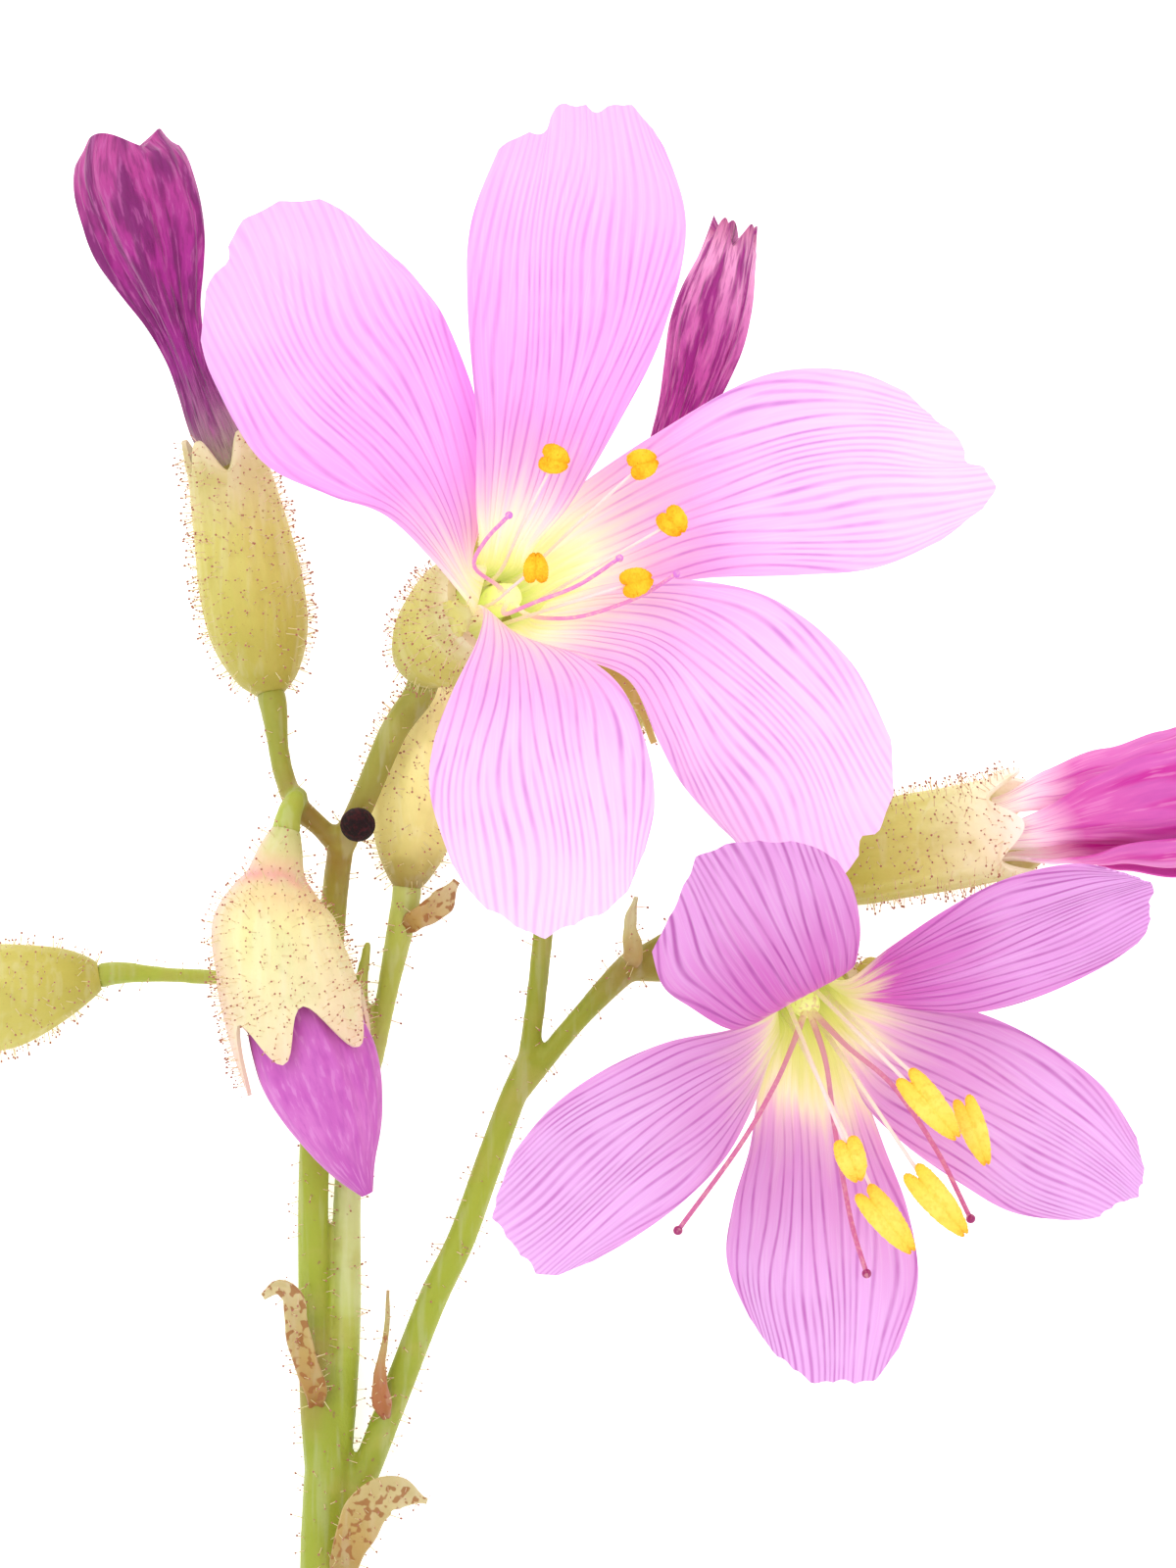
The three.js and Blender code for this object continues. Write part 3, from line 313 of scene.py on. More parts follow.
@dataclass(frozen=True)
class Turning:
    """How a turned form is cut and ruffled.

    Attributes:
        sides: Points a ring.
        rim_from: The share of length above which the rim is cut into lobes.
        lobe_floor: How deep the cuts reach, 0 being right down.
        phase: Turns the lobes round, in radians.
        pleats: Depth of the five pleats as a share of the radius.
        creases: Depth of finer creases as a share of the radius.
        twist: How far the pleats wind, in radians.
        squash: Height of the cross-section as a share of its width.
        tips: Uneven tips in the stead of five lobes, each as (degrees, half width in degrees, height).
        lobe_power: How pointed the lobes are, lower being blunter.
        finer: How many creases lie in one pleat.
        winding: How much farther the creases wind than the pleats.
        waver: How far the creases wander sideways, in radians.
    """

    sides: int = 80
    rim_from: float = 1.0
    lobe_floor: float = 0.06
    phase: float = 0.0
    pleats: float = 0.0
    creases: float = 0.0
    twist: float = 0.0
    squash: float = 1.0
    tips: tuple[tuple[float, float, float], ...] = ()
    lobe_power: float = 0.8
    finer: float = 4
    winding: float = 3
    waver: float = 1.3

    def lobe(self, wave: np.ndarray) -> np.ndarray:
        """Gives the height of the rim, from 0 in a notch to 1 at a tip.

        Args:
            wave: The angle round the form, times the number of lobes.

        Returns:
            The heights.
        """
        if not self.tips:
            return (0.5 + 0.5 * np.cos(wave)) ** self.lobe_power
        degrees = np.degrees(wave / LOBES)
        heights = []
        for at, half, height in self.tips:
            away = np.abs((degrees - at + 180) % 360 - 180)
            heights.append(height * (0.5 + 0.5 * np.cos(np.pi * np.minimum(1, away / half))))
        return np.max(heights, axis=0)


def turned(
    line: Sequence[Point], skin: Profile, inside: Profile = (), turning: Turning = Turning(),
    hairy: Span = (0, 1),
) -> Shape:
    """Turns a profile round a line.

    Args:
        line: The middle line's points.
        skin: Outer profile as (radius, share of length), smooth.
        inside: The mouth and inner wall, with corners kept.
        turning: Lobes and pleats.
        hairy: Hair cover at the foot and at the rim of the skin.

    Returns:
        The closed form.
    """
    outer = Curve(skin).by_station(np.linspace(0, 1, ROWS_PER_POINT * len(skin)))
    rows = [outer]
    corner = outer[-1]
    for nxt in inside:
        rows.append(np.linspace(corner, nxt, WALL_ROWS)[1:])
        corner = np.asarray(nxt, float)
    profile = np.vstack(rows)
    radius, share = np.maximum(profile[:, :1], LEAST_RADIUS), np.clip(profile[:, 1:2], 0, 1)
    turn = np.linspace(0, 1, turning.sides, endpoint=False)[None]
    angle = (turn - 0.5) * math.tau
    wave = LOBES * (angle + turning.phase)
    lobe = turning.lobe_floor + (1 - turning.lobe_floor) * turning.lobe(wave)
    rim = turning.rim_from
    height = np.where(share > rim, rim + (share - rim) * lobe, share)
    swell = np.sin(np.pi * share)
    creased = turning.finer * wave + turning.winding * turning.twist * share + turning.waver * np.sin(wave)
    folds = turning.pleats * np.cos(wave + turning.twist * share) + turning.creases * np.cos(creased)
    reach = radius * (1 + folds * swell)
    curve = Curve(line)
    flat = height.ravel()
    shape = height.shape
    side, lift = curve.cross_frame(flat)
    middle = curve.at(flat).reshape(*shape, 3)
    # the angle is measured from the top of the form towards its right
    x, z = reach * np.sin(angle), reach * np.cos(angle) * turning.squash
    points = middle + x[..., None] * side.reshape(*shape, 3) + z[..., None] * lift.reshape(*shape, 3)
    marks = np.stack(np.broadcast_arrays(height, turn), axis=-1)
    on_skin = np.arange(len(profile))[:, None] < len(outer)
    cover = np.where(on_skin, hairy[0] + (hairy[1] - hairy[0]) * share, 0)
    return Shape.sleeve(points, marks, np.broadcast_to(cover, shape).copy())


def ball(centre: Point, radius: float, sides: int = 20, creases: float = 0.0) -> Shape:
    """Makes a small ball, such as a stigma or a bead.

    Args:
        centre: Its place.
        radius: Its radius.
        sides: Points a ring.
        creases: How uneven it is, as a share of the radius.

    Returns:
        The ball.
    """
    below, above = (np.array(centre) + [0, side * radius, 0] for side in (-1, 1))
    pole, rings, winding = 0.05, 9, 9
    angle = np.linspace(pole, math.pi - pole, rings)
    skin = list(zip(radius * np.sin(angle), 0.5 - 0.5 * np.cos(angle)))
    return turned([below, above], skin, turning=Turning(sides=sides, creases=creases, twist=winding))


def blade(
    surface: Surface, lengthwise: int, across: int, thickness: float, scale: float = PETAL_SCALE_MM,
    hairy: float = 0,
) -> Shape:
    """Makes a thin blade on a surface, thinner towards its edge.

    Args:
        surface: Gives points for shares along and across.
        lengthwise: Steps from foot to tip.
        across: Steps from the left edge to the right.
        thickness: Thickness at the middle, in mm.
        scale: The length that counts as 1 in the marks, in mm.
        hairy: Hair cover.

    Returns:
        The closed blade.
    """
    rows, columns = np.linspace(0, 1, lengthwise + 1), np.linspace(0, 1, across + 1)
    u, v = np.meshgrid(rows, columns, indexing="ij")
    middle = surface(u, v)
    normal = np.cross(np.gradient(middle, axis=0), np.gradient(middle, axis=1))
    normal /= np.maximum(np.linalg.norm(normal, axis=-1, keepdims=True), 1e-9)
    near_edge = np.maximum(np.abs(2 * v - 1), u) ** EDGE_POWER
    half = (0.5 * thickness * (1 - EDGE_THINNING * near_edge))[..., None]
    count, row = middle.shape[0] * middle.shape[1], across + 1
    points = np.vstack([(middle + half * normal).reshape(-1, 3), (middle - half * normal).reshape(-1, 3)])
    index = np.arange(count).reshape(u.shape)
    a, b, c, d = index[:-1, :-1], index[:-1, 1:], index[1:, 1:], index[1:, :-1]
    upper = np.stack([a, b, c, d], axis=-1).reshape(-1, 4)
    faces = [tuple(one) for one in [*upper.tolist(), *(upper[:, ::-1] + count).tolist()]]
    rim = list(range(row)) + list(range(2 * row - 1, count, row))
    rim += list(range(count - 2, count - row - 1, -1)) + list(range(count - 2 * row, 0, -row))
    faces += [(here, here + count, there + count, there) for here, there in zip(rim, rim[1:] + rim[:1])]
    spine = middle[:, across // 2]
    reach = np.concatenate([[0], np.cumsum(np.linalg.norm(np.diff(spine, axis=0), axis=1))]) / scale
    marks = np.stack([np.broadcast_to(reach[:, None], u.shape), v], axis=-1).reshape(-1, 2)
    return Shape(points, faces, np.vstack([marks, marks]), np.full(2 * count, float(hairy))).facing_out()


def strap(
    points: Sequence[Point], half_widths: Sequence[float], thickness: float = 0.4, cup: float = 0.35,
) -> Shape:
    """Makes a leaf-like strap along a line: a bract or a sepal.

    Args:
        points: The line's points.
        half_widths: Half widths at even stations.
        thickness: Its thickness, in mm.
        cup: How far its edges rise, as a share of the half width.

    Returns:
        The closed strap.
    """
    curve = Curve(points)
    rag, waves, slant, steps = 0.06, 23, 4, (40, 10)

    def surface(u: np.ndarray, v: np.ndarray) -> np.ndarray:
        """Gives points of the cupped strap, its edges a little ragged.

        Args:
            u: Shares along.
            v: Shares across.

        Returns:
            The points.
        """
        side, lift = curve.cross_frame(u)
        half = along(half_widths, u)
        w = 2 * v - 1
        ragged = 1 + rag * np.sin(waves * u + slant * w) * np.abs(w)
        return curve.at(u) + side * (w * half * ragged)[..., None] + lift * (cup * half * w * w)[..., None]

    return blade(surface, *steps, thickness, scale=curve.length, hairy=1)


# Finishes


def linear(colour: str) -> tuple[float, float, float, float]:
    """Turns a display colour into the values that shaders take.

    Args:
        colour: An sRGB colour such as #ffcc00.

    Returns:
        Linear red, green and blue, and full opacity.
    """
    parts = (int(colour[i:i + 2], 16) / 255 for i in (1, 3, 5))
    red, green, blue = (c / 12.92 if c <= 0.04045 else ((c + 0.055) / 1.055) ** 2.4 for c in parts)
    return red, green, blue, 1.0


def add_node(
    tree: bpy.types.NodeTree, kind: str, links: Links | None = None, **settings: object,
) -> bpy.types.Node:
    """Adds a node with its settings, and fills its inputs.

    Args:
        tree: The node tree.
        kind: The node's type.
        links: Inputs by name or number, each given a value or another node's output.
        settings: The node's own settings.

    Returns:
        The node.
    """
    node = tree.nodes.new(kind)
    for key, value in settings.items():
        setattr(node, key, value)
    for key, source in (links or {}).items():
        if isinstance(source, bpy.types.NodeSocket):
            tree.links.new(source, node.inputs[key])
        else:
            node.inputs[key].default_value = source
    return node


class Paint:
    """Builds one procedural material, node by node."""

    def __init__(self, name: str) -> None:
        """Starts an empty material.

        Args:
            name: What it really is.
        """
        self.material = bpy.data.materials.new(name)
        self.material.use_nodes = True
        self.tree = self.material.node_tree
        self.tree.nodes.clear()
        marks = add_node(self.tree, "ShaderNodeUVMap", uv_map="UVMap").outputs[0]
        split = add_node(self.tree, "ShaderNodeSeparateXYZ", {0: marks})
        self.along, self.across = split.outputs[0], split.outputs[1]
        self.place = add_node(self.tree, "ShaderNodeTexCoord").outputs["Object"]

    def maths(self, operation: str, *values: object) -> bpy.types.NodeSocket:
        """Adds a sum of a kind, such as MULTIPLY, with its inputs, and gives its result."""
        return add_node(self.tree, "ShaderNodeMath", dict(enumerate(values)), operation=operation).outputs[0]

    def ranged(
        self, value: object, low: float, high: float, start: float = 0, end: float = 1,
    ) -> bpy.types.NodeSocket:
        """Maps the range from low to high onto the one from start to end, eased and clamped."""
        links = {0: value, 1: low, 2: high, 3: start, 4: end}
        return add_node(self.tree, "ShaderNodeMapRange", links, interpolation_type="SMOOTHSTEP").outputs[0]

    def noise(
        self, size_mm: float, detail: float = 2, stretch: Point = (1, 1, 1), roughness: float = 0.5,
    ) -> bpy.types.NodeSocket:
        """Adds noise in the object's own space.

        Args:
            size_mm: Size of its features.
            detail: How many finer layers it has.
            stretch: Scale along each axis.
            roughness: How strong the finer layers are.

        Returns:
            The noise value.
        """
        place = add_node(self.tree, "ShaderNodeMapping", {"Vector": self.place, "Scale": stretch}).outputs[0]
        links = {"Vector": place, "Scale": 1 / (size_mm * MM), "Detail": detail, "Roughness": roughness}
        return add_node(self.tree, "ShaderNodeTexNoise", links).outputs[0]

    def streaks(self, lines: float, wander: float, detail: float = 2) -> bpy.types.NodeSocket:
        """Adds noise that runs lengthwise in the shape's own marks.

        Args:
            lines: How many streaks lie side by side.
            wander: How much they change along their length.
            detail: How many finer layers it has.

        Returns:
            The noise value.
        """
        links = {0: self.maths("MULTIPLY", self.along, wander), 1: self.maths("MULTIPLY", self.across, lines)}
        spot = add_node(self.tree, "ShaderNodeCombineXYZ", links).outputs[0]
        links = {"Vector": spot, "Scale": 1.0, "Detail": detail}
        return add_node(self.tree, "ShaderNodeTexNoise", links).outputs[0]

    def ramp(self, value: object, stops: Sequence[tuple[float, str]]) -> bpy.types.NodeSocket:
        """Colours a value.

        Args:
            value: The value.
            stops: Places and their colours.

        Returns:
            The colour.
        """
        node = add_node(self.tree, "ShaderNodeValToRGB", {0: value})
        ends = node.color_ramp.elements
        while len(ends) < len(stops):
            ends.new(0.5)
        for end, (place, colour) in zip(ends, stops):
            end.position = place
            end.color = linear(colour)
        return node.outputs[0]

    def over(self, below: object, above: object, share: object) -> bpy.types.NodeSocket:
        """Lays one colour over another.

        Args:
            below: The colour below, as a socket or a hex value.
            above: The colour above.
            share: How much of it covers.

        Returns:
            The mixed colour.
        """
        below, above = (linear(one) if isinstance(one, str) else one for one in (below, above))
        links = {0: share, 6: below, 7: above}
        return add_node(self.tree, "ShaderNodeMix", links, data_type="RGBA").outputs[2]

    def finish(
        self, colour: object, roughness: float, translucent: object = 0, relief: object = None,
        relief_mm: float = 0.05, sheen: float = 0, glow: object = 0,
    ) -> bpy.types.Material:
        """Joins colour and relief to the surface.

        Args:
            colour: Base colour, as a socket or a hex value.
            roughness: How dull it is.
            translucent: Share of the light that passes through.
            relief: Height of the surface from 0 to 1.
            relief_mm: What a height of 1 measures.
            sheen: Strength of a velvety sheen.
            glow: Painted glow, emitted in its own colour as a share of it, for light through the tissue.

        Returns:
            The material.
        """
        colour = linear(colour) if isinstance(colour, str) else colour
        links: Links = {"Base Color": colour, "Roughness": roughness, "Sheen Weight": sheen}
        # painted glow: the surface emits its own colour, though it is no lamp
        if glow:
            links |= {"Emission Color": colour, "Emission Strength": glow}
            self.material.cycles.emission_sampling = "NONE"
        if relief is not None:
            bump = {"Height": relief, "Distance": relief_mm * MM, "Strength": 1.0}
            links["Normal"] = add_node(self.tree, "ShaderNodeBump", bump).outputs[0]
        surface = add_node(self.tree, "ShaderNodeBsdfPrincipled", links).outputs[0]
        if translucent:
            through = add_node(self.tree, "ShaderNodeBsdfTranslucent", {"Color": colour}).outputs[0]
            both = {0: translucent, 1: surface, 2: through}
            surface = add_node(self.tree, "ShaderNodeMixShader", both).outputs[0]
        add_node(self.tree, "ShaderNodeOutputMaterial", {0: surface})
        return self.material


@dataclass(frozen=True)
class PetalFinish:
    """A petal's tissue: veins that fan out and fork, paler towards the tip, yellow-green at the foot.

    Places along it are shares of the longest petal, and places across it run from 0 to 1.

    Attributes:
        stops: Colours along the petal.
        vein: Colour of the veins.
        strength: How dark the veins are.
        rim: Colour that its side edges turn to.
        veins: How many run side by side.
        wander: How far a vein strays, in veins.
        forks: Where the veins fork.
        starts: Where the veins come in.
        fades: Where they fade towards the tip.
        throat: Where the throat, which carries a painted glow, gives way to the blade.
        painted_sheen: How many white lines of painted sheen lie side by side.
        patch_mm: Size of the patches in which the veins are stronger.
    """

    name: str
    stops: Stops
    vein: str
    strength: float
    rim: str
    veins: int = 13
    wander: float = 2.6
    forks: Span = (1.0, 1.25)
    starts: Span = (0.24, 0.4)
    fades: Span = (0.7, 1.15)
    throat: Span = (0.12, 0.38)
    painted_sheen: int = 90
    patch_mm: float = 3.5
    grain_mm: float = 0.4
    relief_mm: float = 0.03

    def made(self) -> bpy.types.Material:
        """Builds the material: soft forking veins and light through the tissue make it read as alive, with a
        painted glow at the throat and painted sheen.

        Returns:
            The material.
        """
        paint = Paint(self.name)
        wander = paint.maths("MULTIPLY", paint.streaks(3, 2.5, 0), self.wander)
        lane = paint.maths("MULTIPLY_ADD", paint.across, self.veins, wander)
        main = paint.ranged(paint.maths("PINGPONG", lane, 0.5), 0.02, 0.18, 1, 0)
        fork = paint.ranged(paint.maths("PINGPONG", paint.maths("ADD", lane, 0.5), 0.5), 0.02, 0.16, 0.7, 0)
        reach = paint.maths("ADD", paint.along, paint.maths("MULTIPLY", paint.streaks(self.veins, 3, 0), 0.9))
        veins = paint.maths("MAXIMUM", main, paint.maths("MULTIPLY", fork, paint.ranged(reach, *self.forks)))
        fade = paint.ranged(paint.along, *self.fades, 1, 0.35)
        fade = paint.maths("MULTIPLY", paint.ranged(paint.along, *self.starts), fade)
        patch = paint.ranged(paint.noise(self.patch_mm), 0.3, 0.7, 0.45 * self.strength, self.strength)
        drift = paint.ranged(paint.streaks(9, 1.5), 0.25, 0.75, -0.06, 0.06)
        ground = paint.ramp(paint.maths("ADD", paint.along, drift), self.stops)
        side = paint.maths("ABSOLUTE", paint.maths("SUBTRACT", paint.across, 0.5))
        edge = paint.maths("MULTIPLY", paint.ranged(side, 0.36, 0.5, 0, 0.4), fade)
        # painted sheen: fine white lines laid over the ground colour
        painted_sheen = paint.ranged(paint.streaks(self.painted_sheen, 6, 1), 0.45, 0.7, 0, 0.12)
        ground = paint.over(paint.over(ground, self.rim, edge), WHITE, painted_sheen)
        lines = paint.maths("MULTIPLY", paint.maths("MULTIPLY", veins, fade), patch)
        relief = paint.maths("ADD", veins, paint.maths("MULTIPLY", paint.noise(self.grain_mm), 0.6))
        # painted glow: emission strongest in the throat, for light passing through the tissue there
        throat = paint.ranged(paint.along, *self.throat, 1, 0)
        return paint.finish(
            paint.over(ground, self.vein, lines), roughness=0.6,
            translucent=paint.maths("MULTIPLY_ADD", throat, 0.25, 0.35), relief=relief,
            relief_mm=self.relief_mm, sheen=0.15, glow=paint.maths("MULTIPLY_ADD", throat, 0.55, 0.04),
        )


@dataclass(frozen=True)
class SkinFinish:
    """Green or creamy skin with small spots: stem, calyx or bract.

    Attributes:
        stops: Colours along the piece.
        spot: Colour of its spots.
        spot_mm: Size of a spot.
        cover: Share of the skin that is spotted.
        mottle: A second colour that clouds the skin.
        shade: Colour of the painted shade on its darker side.
        shade_at: Where that side lies, as a share of the way round.
        glow: Painted glow, an emission that stands in for light through the tissue.
    """

    name: str
    stops: Stops
    spot: str
    spot_mm: float
    cover: float
    mottle: str
    shade: str = WHITE
    shade_at: float = -1.0
    glow: float = 0.0
    rib_mm: float = 0.7
    cloud_mm: float = 3.0
    grain_mm: float = 0.25
    relief_mm: float = 0.05

    def made(self) -> bpy.types.Material:
        """Builds the material: clouding and small spots break up the plain skin, fine ribs carry a painted
        highlight in white, and painted shade can darken one side.

        Returns:
            The material.
        """
        paint = Paint(self.name)
        ribs = paint.noise(self.rib_mm, stretch=(1.0, 0.09, 1.0))
        clouds = paint.ranged(paint.noise(self.cloud_mm, 3), 0.45, 0.7, 0, 0.55)
        ground = paint.over(paint.ramp(paint.along, self.stops), self.mottle, clouds)
        # painted highlight: white laid along the ribs
        ground = paint.over(ground, WHITE, paint.ranged(ribs, 0.5, 0.7, 0, 0.08))
        # painted shade: the shade colour laid on the side that lies at shade_at
        away = paint.maths("ABSOLUTE", paint.maths("SUBTRACT", paint.across, self.shade_at))
        ground = paint.over(ground, self.shade, paint.ranged(away, 0.02, 0.24, 0.8, 0))
        edge = 0.74 - 0.3 * self.cover
        spots = paint.ranged(paint.noise(self.spot_mm, 1, roughness=0.3), edge, edge + 0.08, 0, 0.8)
        relief = paint.maths("ADD", ribs, paint.maths("MULTIPLY", paint.noise(self.grain_mm, 1), 0.6))
        return paint.finish(
            paint.over(ground, self.spot, spots), roughness=0.55, translucent=0.1, relief=relief,
            relief_mm=self.relief_mm, sheen=0.1, glow=self.glow,
        )


@dataclass(frozen=True)
class StreakedFinish:
    """Folded or withered petal tissue: broad bands and fine lines along its length.

    Attributes:
        stops: Colours along the piece.
        band: Colour of the broad bands.
        line: Colour of the fine lines.
        pale: Colour of the paler lines between them, a painted highlight.
        bands: How many bands lie side by side.
        strength: How strong the bands are.
        start: Where the bands begin, as a share of the length.
        relief_mm: Height of the creases.
        translucent: Share of the light that passes.
        glow: Painted glow, an emission that stands in for light through the tissue.
    """

    name: str
    stops: Stops
    band: str
    line: str
    pale: str
    bands: float
    strength: float
    start: float = 0.0
    relief_mm: float = 0.2
    translucent: float = 0.15
    glow: float = 0.0

    def made(self) -> bpy.types.Material:
        """Builds the material: bands, dark lines, paler lines of painted highlight and creases along it make
        it read as folded petals.

        Returns:
            The material.
        """
        paint = Paint(self.name)
        broad = paint.ranged(paint.streaks(self.bands, 0.3 * self.bands), 0.44, 0.6, 0, self.strength)
        broad = paint.maths("MULTIPLY", broad, paint.ranged(paint.along, self.start, self.start + 0.2))
        fine = paint.streaks(4 * self.bands, 0.8 * self.bands, 3)
        colour = paint.over(paint.ramp(paint.along, self.stops), self.band, broad)
        colour = paint.over(colour, self.line, paint.ranged(fine, 0.5, 0.66, 0, 0.5))
        # painted highlight: paler lines between the dark ones
        colour = paint.over(colour, self.pale, paint.ranged(fine, 0.34, 0.46, 0.5, 0))
        return paint.finish(
            colour, roughness=0.6, translucent=self.translucent, relief=paint.maths("ADD", fine, broad),
            relief_mm=self.relief_mm, sheen=0.2, glow=self.glow,
        )


@dataclass(frozen=True)
class PlainFinish:
    """A small part in colours along its length, with a fine grain.

    Attributes:
        stops: Colours along the piece.
        grain: Colour of the grain.
        translucent: Share of the light that passes.
        glow: Painted glow, an emission that stands in for light through the tissue.
    """

    name: str
    stops: Stops
    grain: str
    roughness: float = 0.5
    grain_mm: float = 0.3
    relief_mm: float = 0.01
    translucent: float = 0.2
    glow: float = 0.0

    def made(self) -> bpy.types.Material:
        """Builds the material: the grain keeps a small part from looking like plastic.

        Returns:
            The material.
        """
        paint = Paint(self.name)
        grain = paint.noise(self.grain_mm, 3)
        cover = paint.ranged(grain, 0.45, 0.7, 0, 0.6)
        colour = paint.over(paint.ramp(paint.along, self.stops), self.grain, cover)
        return paint.finish(colour, self.roughness, self.translucent, grain, self.relief_mm, glow=self.glow)


class Slot(Enum):
    """The record's material slots."""

    STEM = "stem"
    CALYX = "calyx"
    BRACT = "bract"
    PETAL_PALE = "petal_pale"
    PETAL_MAUVE = "petal_mauve"
    WITHERED = "withered"
    ANTHER = "anther"
    FILAMENT = "filament"
    PISTIL = "pistil"
    BEAD = "bead"


@dataclass(frozen=True)
class Coat:
    """A finish and the slot that it belongs to.

    Attributes:
        slot: The record's slot.
        finish: How the material is built.
    """

    slot: Slot
    finish: PetalFinish | SkinFinish | StreakedFinish | PlainFinish


class Dress(Enum):
    """Every finish of the spray."""

    # seen as waxy green and olive at the joints; the palest tint is painted light, for light shining through
    # the stem
    STEM = Coat(Slot.STEM, SkinFinish(
        "sundew stem, waxy green",
        ((0.0, "#946a24"), (0.25, "#9c9434"), (0.5, "#949f1e"), (0.65, "#a3b128"), (0.85, "#b8c252"),
         (1.0, "#cad08a")),
        spot="#94703e", spot_mm=0.5, cover=0.02, mottle="#b0ac48",
    ))
    # seen as dull yellow-green under its hairs, creamy at the rim, with a painted glow for light through its
    # tissue
    CALYX = Coat(Slot.CALYX, SkinFinish(
        "sundew calyx, yellow-green",
        ((0.0, "#a69c38"), (0.25, "#bcb14c"), (0.6, "#cbc163"), (0.85, "#cdbf84"), (1.0, "#ddd0a8")),
        spot="#9a6a3c", spot_mm=0.2, cover=0.04, mottle="#b8ac4a", glow=0.12,
    ))
    # seen as a pale bud on an olive foot, with a painted glow for light through its thin sepals
    PALE_CALYX = Coat(Slot.CALYX, SkinFinish(
        "closed bud's calyx, pale",
        ((0.0, "#8f7c34"), (0.1, "#a8984c"), (0.22, "#d8cc7e"), (0.5, "#ece094"), (1.0, "#f0e6a8")),
        spot="#9a6a3c", spot_mm=0.2, cover=0.03, mottle="#d4c874", glow=0.2,
    ))
    # seen as olive below fading to cream where the funnel leaves it, with painted shade on its lower side and
    # a painted glow
    SIDE_CALYX = Coat(Slot.CALYX, SkinFinish(
        "side flower's calyx, olive to cream",
        ((0.0, "#a69c30"), (0.3, "#c2c052"), (0.55, "#dcd878"), (0.8, "#f2eaba"), (1.0, "#fdf0e2")),
        spot="#9a6a3c", spot_mm=0.2, cover=0.03, mottle="#ccc25a", shade="#a5982e", shade_at=0.79,
        glow=0.12,
    ))
    # seen as a bright cream calyx with a pink ring where the neck widens, pinkish painted shade on one side
    # and a faint painted glow
    NODDING_CALYX = Coat(Slot.CALYX, SkinFinish(
        "opening calyx, cream with a pink ring",
        ((0.0, "#bcc070"), (0.1, "#d2cc88"), (0.16, "#e0c094"), (0.2, "#e29a92"), (0.25, "#e8cc94"),
         (0.4, "#ebe4a0"), (0.75, "#eaddb0"), (1.0, "#e9c8b0")),
        spot="#9a5a3a", spot_mm=0.2, cover=0.06, mottle="#dadca0", shade="#e2b8b4", shade_at=0.8,
        glow=0.08,
    ))
    # seen as a dry, creamy bract, brown at its foot
    BRACT = Coat(Slot.BRACT, SkinFinish(
        "dried bract, cream with brown spots",
        ((0.0, "#9c6624"), (0.15, "#ac803c"), (0.4, "#bc9c56"), (0.7, "#c8b478"), (1.0, "#d8c898")),
        spot="#9a5a1c", spot_mm=0.5, cover=0.7, mottle="#b4a264",
    ))
    # seen as a pale green point on a brown foot
    PALE_BRACT = Coat(Slot.BRACT, SkinFinish(
        "dried bract, pale green",
        ((0.0, "#8c5c20"), (0.3, "#b08c40"), (0.5, "#ccc67e"), (1.0, "#dfe2b4")),
        spot="#a06a34", spot_mm=0.4, cover=0.15, mottle="#c4b870",
    ))
    # seen as a reddish-brown bulb that runs out into a thin thread
    SPIKE = Coat(Slot.BRACT, SkinFinish(
        "dried bract, a reddish thread",
        ((0.0, "#a45a2c"), (0.3, "#b06c3c"), (0.45, "#b88c54"), (0.7, "#bcaa68"), (1.0, "#ccc08c")),
        spot="#a04c28", spot_mm=0.35, cover=0.3, mottle="#b07c44",
    ))
    # seen as thin pink tissue round a pale yellow-green throat
    PINK_PETAL = Coat(Slot.PETAL_PALE, PetalFinish(
        "pale pink petal",
        ((0.0, "#dce486"), (0.17, "#ecebb2"), (0.24, "#f6efd4"), (0.31, "#fbe2e2"), (0.38, "#fac6ea"),
         (0.48, "#f9b2ee"), (0.65, "#fabaf3"), (1.0, "#fccaf8")),
        vein="#cd78d2", strength=0.7, rim="#f2a2ea",
    ))
    # seen as the palest petals, whose veins hardly show
    PALEST_PETAL = Coat(Slot.PETAL_PALE, PetalFinish(
        "palest pink petal",
        ((0.0, "#dce486"), (0.17, "#ecebb2"), (0.24, "#f7efd4"), (0.32, "#fce2e2"), (0.4, "#fccdec"),
         (0.5, "#fcc2f1"), (0.65, "#fed3f8"), (1.0, "#ffdffd")),
        vein="#ca7ad2", strength=0.74, rim="#fabef2",
    ))
    # seen as mauve, with fine darker veins
    MAUVE_PETAL = Coat(Slot.PETAL_MAUVE, PetalFinish(
        "mauve petal",
        ((0.0, "#d8dc7c"), (0.18, "#e1df9e"), (0.25, "#eee6cc"), (0.32, "#eabedc"), (0.41, "#e4a4de"),
         (0.65, "#ecbbed"), (1.0, "#f0c2f3")),
        vein="#b84ab0", strength=0.75, rim="#e696dc",
    ))
    # seen as mauve that deepens to magenta where the blade leaves the throat, partly its own colour and
    # partly painted shade of the fold
    DEEP_PETAL = Coat(Slot.PETAL_MAUVE, PetalFinish(
        "mauve petal, deep at its foot",
        ((0.0, "#d8dc7c"), (0.17, "#e1df9e"), (0.25, "#ecdcc0"), (0.31, "#d964c4"), (0.4, "#dc78ce"),
         (0.6, "#e9a9e6"), (1.0, "#edb6ee")),
        vein="#b03ca6", strength=0.75, rim="#de80d0",
    ))
